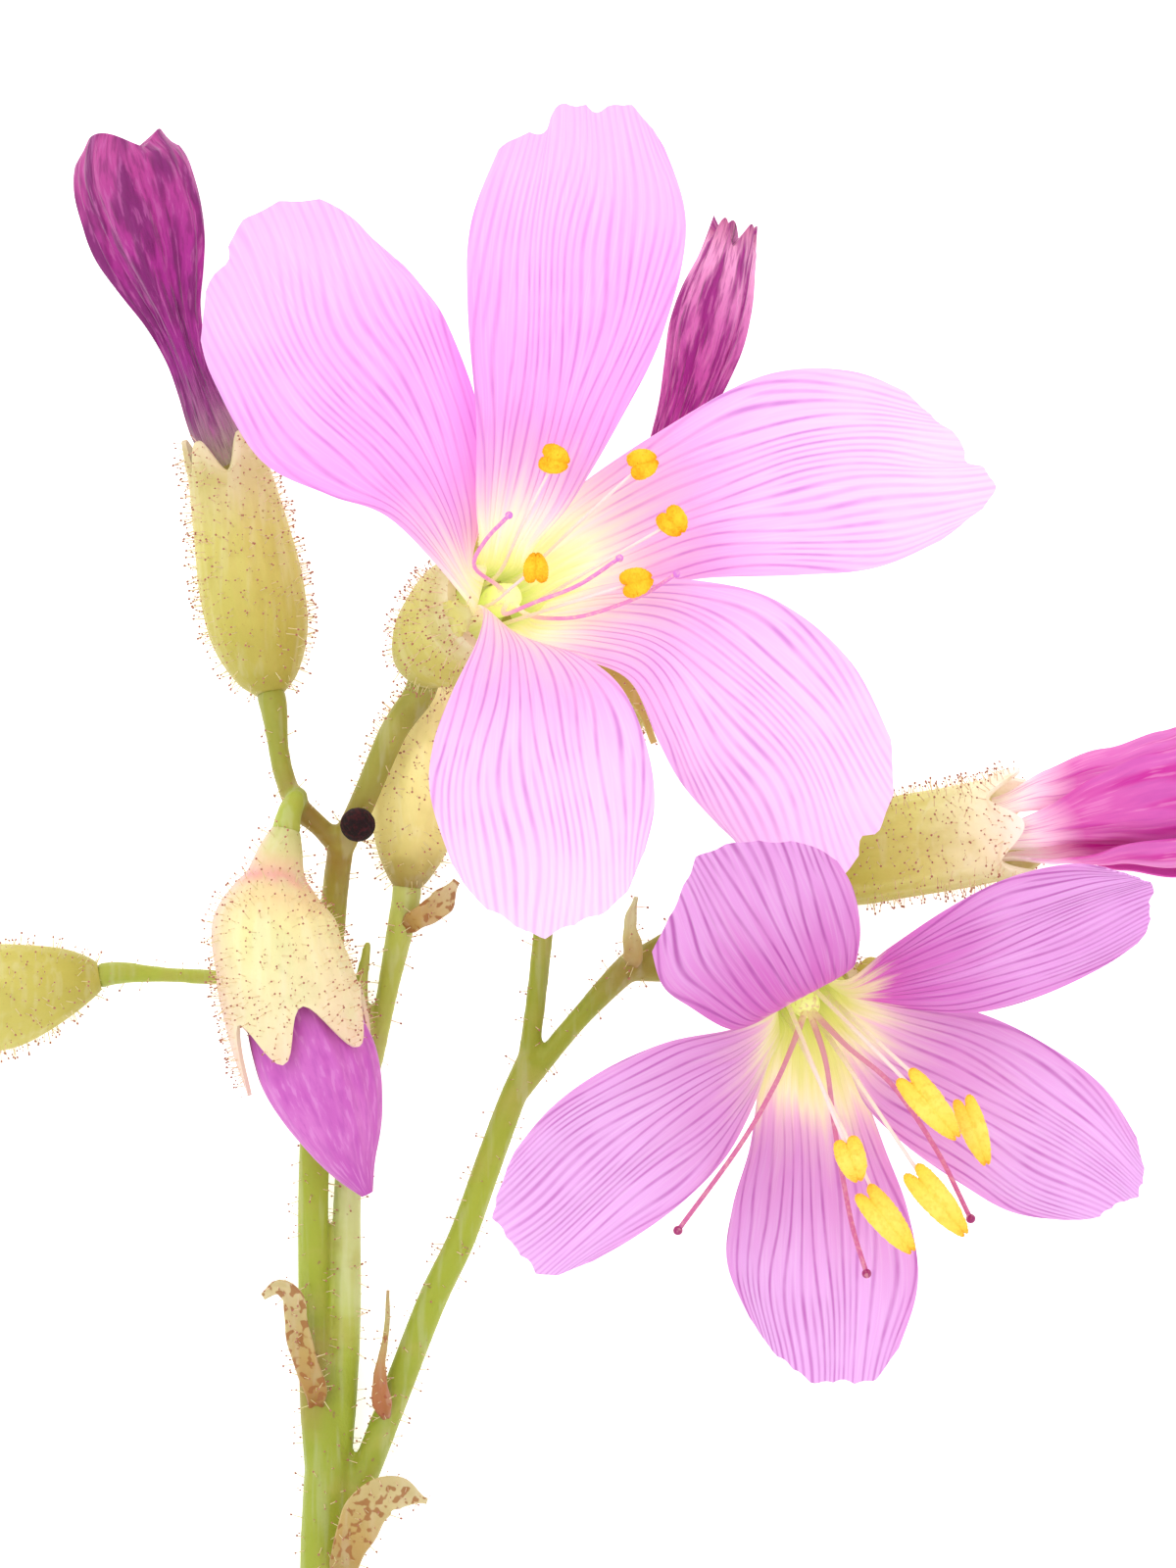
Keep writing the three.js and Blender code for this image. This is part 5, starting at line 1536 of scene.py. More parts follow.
FLOWER_2 = OpenFlower(
    "flower_2",
    facing=FACING_2,
    line=CALYX_LINES["flower_2"],
    petals={
        "upper_left": Petal(
            angle=180, crown=0.5, dress=Dress.DEEP_PETAL,
            left=[(49.3, 36.0, 17.4), (47.6, 34.7, 19.4), (46.2, 34.6, 21.8), (44.0, 35.9, 23.6),
                  (42.2, 37.3, 24.6), (41.4, 40.0, 25)],
            right=[(52.7, 37.8, 17.6), (54.0, 38.2, 19.4), (54.5, 39.0, 21.4), (54.7, 41.0, 23.2),
                   (54.2, 43.5, 24.2), (52.9, 45.6, 24.4)],
            top=[(42.8, 42.0), (43.8, 44.2), (44.4, 45.6), (45.9, 46.1), (47.6, 46.4), (50.9, 46.4)],
        ),
        "upper_right": Petal(
            angle=108, crown=-0.5, dress=Dress.DEEP_PETAL,
            left=[(53.7, 37.5, 16.4), (56.6, 39.6, 18.4), (60.3, 42.1, 20.4), (64.0, 44.0, 21.8),
                  (67.9, 44.9, 22.8), (70.8, 44.6, 23.2)],
            right=[(55.0, 36.3, 16.2), (58.0, 35.7, 17.4), (62.0, 35.5, 18.8), (66.0, 36.5, 20),
                   (70.1, 38.4, 21), (73.0, 40.4, 21.6)],
            top=[(72.5, 44.0), (73.4, 43.6), (73.1, 42.6), (73.2, 41.9)],
        ),
        "lower_right": Petal(
            angle=36, crown=-0.5, dress=Dress.MAUVE_PETAL, blush=0.04,
            left=[(54.9, 36.8, 14.2), (58.3, 36.3, 14.5), (62.5, 35.4, 14.6), (66.5, 33.5, 14.2),
                  (70.3, 30.7, 13.2), (73.0, 26.5, 12)],
            right=[(53.9, 32.2, 13.9), (55.3, 29.4, 14.2), (57.9, 26.9, 14.2), (61.2, 24.6, 13.6),
                   (64.6, 22.7, 12.8), (68.9, 22.1, 11.6)],
            top=[(72.9, 24.7), (72.6, 23.6), (71.6, 23.4), (70.3, 22.5)],
        ),
        "lower": Petal(
            angle=-36, crown=-0.4, dress=Dress.MAUVE_PETAL,
            left=[(54.1, 32.7, 12.2), (55.1, 30.3, 12.6), (56.4, 26.8, 12.9), (57.9, 22.7, 12.6),
                  (58.5, 18.0, 11.8), (56.9, 12.9, 10.6)],
            right=[(48.9, 32.9, 13.2), (48.3, 30.2, 13.5), (47.8, 26.8, 13.6), (46.7, 23.0, 13.2),
                   (46.4, 19.3, 12.4), (48.3, 14.9, 11)],
            top=[(56.0, 12.1), (54.6, 11.7), (53.1, 11.8), (51.6, 11.9), (49.9, 13.2)],
        ),
        "lower_left": Petal(
            angle=-108, crown=-0.4, dress=Dress.MAUVE_PETAL, blush=0.04,
            left=[(49.0, 32.4, 15.4), (47.9, 29.4, 17.2), (46.2, 26.3, 18.6), (43.6, 23.6, 20),
                  (40.6, 21.4, 21), (37.0, 19.4, 21.6)],
            right=[(48.9, 35.3, 16.0), (46.6, 34.4, 17.6), (42.5, 33.6, 19.4), (38.4, 31.8, 20.8),
                   (35.0, 29.3, 21.6), (32.2, 25.8, 22)],
            top=[(35.6, 18.9), (34.2, 18.9), (33.4, 19.9), (32.5, 21.1), (31.4, 22.3), (31.6, 23.4)],
        ),
    },
    plain_sepals=(0, 72, -72, -144),
    shown_sepal=144,
    shown_points=[(53.4, 39.0, 15.6), (54.6, 40.2, 17.4)],
    anthers=[
        Anther(-144, (54.2, 26.2, 21.4), (0.35, -1.1, 0), 0.7),
        Anther(-72, (56.5, 22.3, 19.2), (1.4, -1.75, 0), 0.72),
        Anther(0, (59.7, 23.5, 19.8), (1.55, -1.85, 0), 0.72, 0.12),
        Anther(144, (59.2, 29.6, 21.6), (1.5, -1.8, 0), 0.75),
        Anther(72, (62.0, 28.0, 19.0), (0.7, -1.9, 0), 0.62, 0.24),
    ],
    styles=[
        [(50.5, 33.4, 15.4), (49.2, 30.6, 18.6), (47.0, 26.9, 19.6), (43.2, 21.7, 19.8)],
        [(52.6, 32.4, 14.8), (53.2, 28.0, 15.3), (54.2, 22.3, 16.2), (55.2, 18.9, 16.4)],
        [(54.0, 33.3, 15.6), (56.8, 30.9, 16.8), (59.6, 26.8, 17.3), (61.8, 22.4, 17.0)],
    ],
    thread=0.135,
    style=0.16,
    pistil_dress=Dress.DARK_PISTIL,
    pollen=Dress.PALE_ANTHER,
)


# Stalk


@dataclass(frozen=True)
class Run:
    """One run of stem.

    Attributes:
        points: Its middle line.
        radii: Radii at even stations.
        tints: Tints at even stations, from 0 for olive-brown to 1 for the palest green, the paler end being
            painted light shining through.
    """

    points: Sequence[Point]
    radii: Sequence[float]
    tints: Sequence[float]


@dataclass
class Stalk:
    """The main stem, the upper stems, the right branch and every pedicel, grown as one.

    Attributes:
        thin: Radius of the far left bud's pedicel, in mm, as stem, upper, branch and pedicel are radii.
        head: Radius of a pedicel's end, which stands as far as sunk in the calyx's foot.
        cell: Cell size in which the runs grow together.
        settle: How many times the skin is eased after that.
        rings: How finely each run is made, in rings and points a ring.
        width: Width of the sheet, which the marks across are shares of.
        hair_start: Height on the sheet at which hairs begin, full hair_reach farther up.
        hair_cover: Least and most cover.
    """

    stem: float = 1.62
    upper: float = 1.0
    branch: float = 0.95
    pedicel: float = 0.68
    thin: float = 0.5
    head: float = 1.0
    approach: float = 1.3
    sunk: float = 0.15
    cell: float = 0.22
    settle: int = 6
    rings: tuple[int, int] = (90, 20)
    width: float = 78
    hair_start: float = -18
    hair_reach: float = 50
    hair_cover: Span = (0.12, 0.5)

    def seat(self, bloom: str) -> list[np.ndarray]:
        """Gives the end of a pedicel, square to the calyx that it carries.

        Args:
            bloom: The bloom.

        Returns:
            The approach and the end, which stands just inside the calyx's foot.
        """
        curve = Curve(CALYX_LINES[bloom])
        start, way = curve.at(np.array([0.0]))[0], curve.tangent(np.array([0.0]))[0]
        return [start - self.approach * way, start + self.sunk * way]

    def runs(self) -> list[Run]:
        """Lists every run of stem.

        Returns:
            The runs, each running on into the one that it grows from.
        """
        s, u, b, p, t, h = self.stem, self.upper, self.branch, self.pedicel, self.thin, self.head
        seat = self.seat
        return [
            Run([(20.8, -21.9, 1.6), (20.7, -11.2, 1.6), (20.6, 0, 1.7), (20.8, 6.2, 1.8), (20.7, 13.2, 1.9)],
                [s, s, s, 1.55, 0.8], [0.6, 0.6, 0.55, 0.55, 0.5]),
            Run([(20.5, 4.0, 1.8), (20.0, 10.5, 2.0), (19.9, 16.9, 2.1), (19.9, 24.1, 2.3), (20.2, 31.2, 2.5),
                 (20.8, 37.5, 2.9), (21.3, 43.0, 3.8), (21.7, 46.1, 4.9)], [u, u, u, 0.9, 0.85],
                [0.55, 0.5, 0.2, 0.05, 0.5, 0.6, 0.6, 0.6, 0.6, 0.6, 0.55, 0.5, 0.4, 0.2, 0.1]),
            Run([(21.1, 4.0, 1.7), (21.7, 10.5, 1.7), (22.0, 16.9, 1.6), (22.1, 24.1, 1.5), (22.6, 28.8, 1.5),
                 (23.8, 32.5, 1.7), (24.8, 37.5, 2.1), *seat("hidden")], [u, u, 0.9, 0.62, 0.95],
                [0.6, 0.6, 0.95, 1.0, 0.95, 0.8, 0.9]),
            Run([(21.2, 1.9, 1.8), (23.0, 5.4, 1.9), (24.5, 9.2, 2.0), (25.35, 11.4, 2.1), (27.5, 16.9, 2.4),
                 (29.4, 20.9, 2.6), (31.2, 25.9, 2.8), (32.6, 29.7, 2.9), (33.8, 32.4, 3.0)],
                [b, b, b, 0.9, 0.85], [0.4, 0.5, 0.6, 0.65, 0.55]),
            Run([(23.2, 31.9, 1.7), (22.9, 36.3, 2.3), (23.4, 39.9, 2.9)], [0.6, 0.55, 0.3], [0.95, 0.85]),
            Run([(33.2, 30.4, 2.9), (35.9, 33.8, 3.0), (38.4, 36.6, 3.1), (40.4, 38.6, 3.1)], [p, p, 0.9],
                [0.5, 0.55, 0.2]),
            Run([(21.7, 45.9, 4.9), (20.1, 47.5, 5.4), (18.7, 48.6, 5.8)], [0.75, p, 0.8], [0.1, 0.1]),
            Run([(33.4, 30.6, 2.9), (34.1, 35.6, 2.9), (34.6, 40.2, 2.7), (35.1, 45.0, 2.7),
                 *seat("spent_right")], [p, 0.66, p, h], [0.5, 0.6]),
            Run([(39.9, 38.2, 3.1), (43.1, 40.2, 2.5), (45.6, 42.0, 2.2), (46.8, 42.1, 2.8),
                 *seat("flower_2")], [0.8, p, h], [0.2, 0.5, 0.5]),
            Run([(39.9, 38.2, 3.1), (43.2, 38.0, 1.9), (46.4, 38.4, 1.3), (48.4, 40.6, 1.7),
                 *seat("flower_3")], [0.8, p, p, h], [0.2, 0.5, 0.5]),
            Run([(21.6, 45.7, 4.9), (22.9, 48.4, 5.8), (24.1, 51.2, 6.6), (25.2, 53.6, 7.1),
                 *seat("flower_1")], [0.85, 0.85, 0.9, 1.05], [0.1, 0.3, 0.3]),
            Run([(18.9, 48.1, 5.8), (17.9, 51.2, 5.5), *seat("spent_left")], [p, p, 0.95], [0.1, 0.4, 0.4]),
            Run([(18.7, 48.6, 5.3), (18.95, 49.2, 6.3), *seat("nodding")], [0.7, 0.65, 0.8, 0.95],
                [0.1, 0.7, 0.8]),
            Run([(20.6, 36.8, 2.9), (17.5, 37.3, 2.0), (13.6, 37.6, 2.2), (10.0, 37.8, 2.6),
                 *seat("far_left")], [t, t, t, 0.8], [0.5, 0.7, 0.75, 0.6]),
        ]

    def tints(self, points: np.ndarray) -> np.ndarray:
        """Gives each point of the skin the tint of the run that it belongs to, eased where runs meet.

        Args:
            points: The skin's points.

        Returns:
            One tint a point.
        """
        share = np.linspace(0, 1, 60)
        weights, tints = [], []
        for run in self.runs():
            away = points[:, None] - Curve(run.points).at(share)
            squared = np.einsum("ijk,ijk->ij", away, away)
            nearest = squared.argmin(axis=1)
            gap = np.sqrt(squared.min(axis=1)) / along(run.radii, share)[nearest]
            weights.append(1 / np.maximum(gap - 0.7, 0.1) ** 2)
            tints.append(along(run.tints, share)[nearest])
        return (np.array(tints) * weights).sum(axis=0) / np.sum(weights, axis=0)

    def build(self, bench: Bench) -> list[bpy.types.Object]:
        """Grows the runs together and dresses the stalk.

        Args:
            bench: Where the piece is put.

        Returns:
            The pieces that gland hairs grow on.
        """
        rods = [rod(run.points, run.radii, *self.rings) for run in self.runs()]
        loose = Shape.joined(rods).trimmed().made("stalk_runs", bench.material(Dress.STEM))
        grow = loose.modifiers.new("Grow together", "REMESH")
        grow.mode, grow.voxel_size = "VOXEL", self.cell * MM
        ease = loose.modifiers.new("Ease", "SMOOTH")
        ease.iterations, ease.factor = self.settle, 0.5
        evaluated = loose.evaluated_get(bpy.context.evaluated_depsgraph_get()).to_mesh()
        points = np.empty(len(evaluated.vertices) * 3)
        evaluated.vertices.foreach_get("co", points)
        points = points.reshape(-1, 3) / MM + SHEET_CENTRE
        faces = [tuple(one.vertices) for one in evaluated.polygons]
        bpy.data.objects.remove(loose)
        marks = np.stack([self.tints(points), points[:, 0] / self.width], axis=-1)
        cover = np.clip((points[:, 1] - self.hair_start) / self.hair_reach, *self.hair_cover)
        return [bench.put("flower_stalk", Shape(points, faces, marks, cover).trimmed(), Dress.STEM)]


# Calyces, spent flowers and buds


CLOSED_SKIN: Profile = (
    (0.9, 0), (1.4, 0.05), (2.1, 0.15), (2.85, 0.32), (3.28, 0.48), (3.1, 0.68), (2.3, 0.85), (0.9, 0.97),
    (0.1, 1),
)


def closed_calyx(line: Sequence[Point]) -> Shape:
    """Makes a closed bud's calyx along a line, its five sepals meeting at the tip, and trims it."""
    return turned(line, CLOSED_SKIN, turning=Turning(pleats=0.06, creases=0.015), hairy=(0.5, 1)).trimmed()


@dataclass(frozen=True)
class Sheath:
    """A calyx round the foot of a folded corolla, cut into five pointed lobes.

    Attributes:
        belly: Widest radius.
        mouth: Radius at the rim.
        hole: Inner radius.
        flare: How far the lobes bend out.
        floor: Where the inner floor lies, as a share of the length.
        rim_from: Where the lobes begin, as a share of the length.
        phase: Turns the lobes round.
        neck: Radii and shares of the narrow part below the belly.
        tips: Uneven lobes, as Turning takes them.
        root: Radius of the foot.
        levels: Shares at which foot, lower side, belly, waist and rim lie, above the neck.
        bulge: Radii of foot and lower side, as shares of the belly.
        lip: How much the rim's edge is rounded off.
    """

    belly: float
    mouth: float
    hole: float
    flare: float = 0.0
    floor: float = 0.72
    rim_from: float = 0.86
    phase: float = 0.0
    neck: Profile = ()
    tips: tuple[tuple[float, float, float], ...] = ()
    root: float = 0.95
    levels: Sequence[float] = (0.07, 0.22, 0.42, 0.66, 0.86)
    bulge: Span = (0.62, 0.93)
    lip: float = 0.12

    def shape(self, line: Sequence[Point]) -> Shape:
        """Makes the calyx.

        Args:
            line: Its middle line.

        Returns:
            The calyx.
        """
        belly, mouth, flare, rim = self.belly, self.mouth, self.flare, self.rim_from
        start = self.neck[-1][1] if self.neck else 0
        foot, low, widest, waist, top = (start + (1 - start) * share for share in self.levels)
        skin = [
            (self.root, 0), *self.neck, (self.bulge[0] * belly, foot), (self.bulge[1] * belly, low),
            (belly, widest), (0.5 * (belly + mouth), rim * waist / top), (mouth, rim),
            (mouth + 0.5 * flare, 0.5 + 0.5 * rim), (mouth + flare - self.lip, 1),
        ]
        inner = [(self.hole + flare + self.lip, 1), (self.hole, rim), (self.hole, self.floor),
                 (LEAST_RADIUS, self.floor)]
        turning = Turning(rim_from=rim, phase=self.phase, creases=0.02, tips=self.tips)
        return turned(line, skin, inner, turning, (0.5, 1))


@dataclass(frozen=True)
class FoldedCorolla:
    """A withered or furled corolla: petals folded round each other into a twisted tube.

    Attributes:
        line: Its middle line.
        radii: Radii at even stations.
        turning: Its lobes, pleats and twist.
        dimple: How far down its end is drawn in, as a share of the length.
        tuck: Radius that the end is drawn in to.
    """

    line: Sequence[Point]
    radii: Sequence[float]
    turning: Turning
    dimple: float = 0.92
    tuck: float = 0.05

    def shape(self) -> Shape:
        """Makes the corolla."""
        skin = list(zip(self.radii, np.linspace(0, 1, len(self.radii))))
        return turned(self.line, skin, [(self.tuck, self.dimple)], self.turning)


@dataclass
class SideFlower:
    """The half-open flower seen from its side: a calyx and a funnel of five petals.

    Attributes:
        line: The funnel's middle line.
        spread: Width of a petal at its foot and where it is widest, in degrees; widens says how soon.
        overlap: How far apart neighbours lie at the foot and farther up; parts says how soon.
        rounding: How far the corners are drawn in, as a share of the length.
        nibbles: Depth of the far edge's nibbles as a share, and how many.
        pleats: Lengthwise pleats, as (depth in mm, how many).
    """

    line: Sequence[Point] = ((63.8, 47.1, 4.5), (69.5, 48.1, 5.4), (75.0, 48.8, 6.4), (82.0, 49.8, 7.5))
    radii: Sequence[float] = (1.9, 2.55, 3.1, 3.8, 4.5, 5.0)
    calyx: Sheath = Sheath(belly=3.2, mouth=3.3, hole=2.8, flare=0.5, floor=0.8)
    spread: Span = (50, 124)
    widens: float = 1.4
    overlap: Span = (0.3, 2.0)
    parts: float = 2.2
    rounding: float = 0.16
    nibbles: Span = (0.05, 7)
    pleats: Span = (0.12, 4)
    thickness: float = 0.32
    steps: tuple[int, int] = (40, 28)

    def petal(self, order: int) -> Shape:
        """Makes one petal, whose left edge lies outside its neighbour's right edge.

        Args:
            order: Its place in the ring.

        Returns:
            The petal.
        """
        line = Curve(self.line)

        def surface(u: np.ndarray, v: np.ndarray) -> np.ndarray:
            """Gives points of the petal, which is curled round the funnel's line.

            Args:
                u: Shares along.
                v: Shares across.

            Returns:
                The points.
            """
            w = 2 * v - 1
            ragged = 1 - self.nibbles[0] * np.abs(np.sin(self.nibbles[1] * v + order)) * u
            share = u * (1 - self.rounding * w * w) * ragged
            spread = np.radians(along(self.spread, self.widens * u))
            overlap = along(self.overlap, self.parts * u)
            angle = order * math.tau / LOBES + 0.5 * w * spread
            pleat = self.pleats[0] * u * np.sin(math.tau * self.pleats[1] * v)
            radius = along(self.radii, share) + 0.5 * w * overlap + pleat
            side, lift = line.cross_frame(share)
            across, up = (radius * np.cos(angle))[..., None], (radius * np.sin(angle))[..., None]
            return line.at(share) + side * across + lift * up

        return blade(surface, *self.steps, self.thickness, scale=line.length)

    def build(self, bench: Bench) -> list[bpy.types.Object]:
        """Builds and dresses the flower.

        Args:
            bench: Where the pieces are put.

        Returns:
            The pieces that gland hairs grow on.
        """
        sheath = self.calyx.shape(CALYX_LINES["flower_3"]).trimmed()
        calyx = bench.put("flower_3_calyx", sheath, Dress.SIDE_CALYX)
        for order in range(LOBES):
            bench.put(f"flower_3_petal_{order + 1}", self.petal(order), Dress.FUNNEL_PETAL)
        return [calyx]


@dataclass
class SpentFlowers:
    """The two flowers that have withered, each in its calyx."""

    left_calyx: Sheath = Sheath(belly=3.3, mouth=2.6, hole=2.05, phase=math.pi / LOBES)
    right_calyx: Sheath = Sheath(belly=3.2, mouth=2.5, hole=1.95)
    left: FoldedCorolla = FoldedCorolla(
        line=((14.5, 70.6, 3.7), (13.0, 74.1, 4.2), (11.6, 78.1, 4.2), (10.4, 81.9, 4.2), (9.3, 85.9, 4.2),
              (8.2, 89.7, 4.4), (7.8, 92.0, 4.6)),
        radii=(1.4, 1.5, 1.25, 1.25, 1.7, 2.6, 3.4, 3.7, 3.6, 2.5),
        turning=Turning(sides=96, rim_from=0.92, lobe_floor=0.08, pleats=0.14, creases=0.06, twist=2.2,
                        squash=0.75, tips=((-40, 95, 1), (62, 50, 0.8))),
    )
    right: FoldedCorolla = FoldedCorolla(
        line=((40.7, 64.2, 3.2), (42.0, 68.8, 3.3), (43.2, 72.5, 3.3), (44.4, 76.2, 3.2), (45.4, 80.0, 3.1),
              (46.4, 83.6, 3.0), (47.0, 86.1, 3.0)),
        radii=(1.2, 1.35, 1.3, 1.35, 1.5, 1.9, 2.25, 2.2, 1.8, 1.5),
        turning=Turning(sides=96, rim_from=0.92, lobe_floor=0.08, phase=0.5, pleats=0.14, creases=0.06,
                        twist=1.6, squash=0.8),
    )

    def build(self, bench: Bench) -> list[bpy.types.Object]:
        """Builds and dresses both.

        Args:
            bench: Where the pieces are put.

        Returns:
            The pieces that gland hairs grow on.
        """
        left = self.left_calyx.shape(CALYX_LINES["spent_left"]).trimmed()
        right = self.right_calyx.shape(CALYX_LINES["spent_right"]).trimmed()
        bench.put("spent_left_corolla", self.left.shape(), Dress.WITHERED_LEFT)
        bench.put("spent_right_corolla", self.right.shape(), Dress.WITHERED_RIGHT)
        return [
            bench.put("spent_left_calyx", left, Dress.CALYX),
            bench.put("spent_right_calyx", right, Dress.CALYX),
        ]


@dataclass
class Buds:
    """The nodding bud that is opening, and the two closed ones."""

    nodding_calyx: Sheath = Sheath(
        belly=4.1, mouth=4.4, hole=3.9, flare=0.3, floor=0.46, rim_from=0.7,
        neck=((1.35, 0.07), (1.85, 0.18)),
        tips=((22, 30, 0.66), (-45, 38, 0.8), (87, 36, 1.0), (159, 38, 0.9), (-125, 42, 0.9)),
    )
    nodding: FoldedCorolla = FoldedCorolla(
        line=((17.9, 38.7, 8.4), (18.9, 35.6, 8.3), (20.2, 32.1, 8.1), (21.4, 28.8, 7.9), (22.4, 25.9, 7.6),
              (23.4, 23.8, 7.4)),
        radii=(2.6, 3.1, 3.4, 3.65, 3.75, 3.5, 3.0, 2.3, 1.4, 0.4),
        turning=Turning(sides=96, lobe_floor=0.08, pleats=0.05, creases=0.02, twist=1.2),
    )

    def build(self, bench: Bench) -> list[bpy.types.Object]:
        """Builds and dresses the buds.

        Args:
            bench: Where the pieces are put.

        Returns:
            The pieces that gland hairs grow on.
        """
        bench.put("nodding_bud_corolla", self.nodding.shape(), Dress.NODDING_PETAL)
        calyx = self.nodding_calyx.shape(CALYX_LINES["nodding"])
        return [
            bench.put("nodding_bud_calyx", calyx, Dress.NODDING_CALYX),
            bench.put("far_left_bud_calyx", closed_calyx(CALYX_LINES["far_left"]), Dress.CALYX),
            bench.put("hidden_bud_calyx", closed_calyx(CALYX_LINES["hidden"]), Dress.PALE_CALYX),
        ]


@dataclass
class Bracts:
    """The dried bracts at the joints by their nodes, and the dark bead of sap."""

    straps: dict[str, tuple[Sequence[Point], Sequence[float], Dress]] = field(default_factory=lambda: {
        "bract_low_left": (
            [(20.1, 10.2, 2.7), (20.0, 11.4, 3.9), (19.2, 13.7, 4.4), (18.8, 15.8, 4.7), (18.6, 17.2, 4.9),
             (17.7, 17.8, 4.8), (16.7, 17.2, 4.5)],
            [0.5, 0.7, 0.75, 0.75, 0.7, 0.55, 0.2], Dress.BRACT,
        ),
        "bract_spike": (
            [(24.6, 9.4, 2.7), (24.3, 10.4, 3.6), (24.2, 12.5, 3.8), (24.6, 15.0, 3.9), (24.7, 17.6, 3.9)],
            [0.3, 0.58, 0.42, 0.2, 0.12, 0.09, 0.06], Dress.SPIKE,
        ),
        "bract_axil": (
            [(21.6, -0.9, 2.4), (22.0, 0.4, 4.0), (23.0, 2.9, 4.4), (24.2, 4.4, 4.7), (25.6, 4.6, 4.8),
             (27.2, 4.1, 4.5)],
            [0.6, 0.9, 1.25, 1.35, 1.0, 0.15], Dress.BRACT,
        ),
        "bract_fork": ([(40.3, 38.3, 3.5), (40.4, 39.2, 4.7), (40.2, 41.1, 4.8), (40.6, 42.8, 4.8)],
                       [0.4, 0.6, 0.36, 0.1], Dress.PALE_BRACT),
        "bract_hidden": ([(25.7, 40.7, 2.9), (26.6, 41.4, 4.3), (27.9, 42.2, 4.1), (29.1, 43.8, 4.1)],
                         [0.4, 0.65, 0.8, 0.2], Dress.BRACT),
    })
    bead_place: Point = (22.8, 47.4, 7.9)
    bead_radius: float = 1.1
    bead_sides: int = 96
    bead_creases: float = 0.03

    def build(self, bench: Bench) -> list[bpy.types.Object]:
        """Builds and dresses them.

        Args:
            bench: Where the pieces are put.

        Returns:
            The pieces that gland hairs grow on.
        """
        bracts = [
            bench.put(name, strap(line, widths), dress) for name, (line, widths, dress) in self.straps.items()
        ]
        bead = ball(self.bead_place, self.bead_radius, self.bead_sides, self.bead_creases)
        bench.put("joint_bead", bead, Dress.BEAD)
        return bracts


# Gland hairs


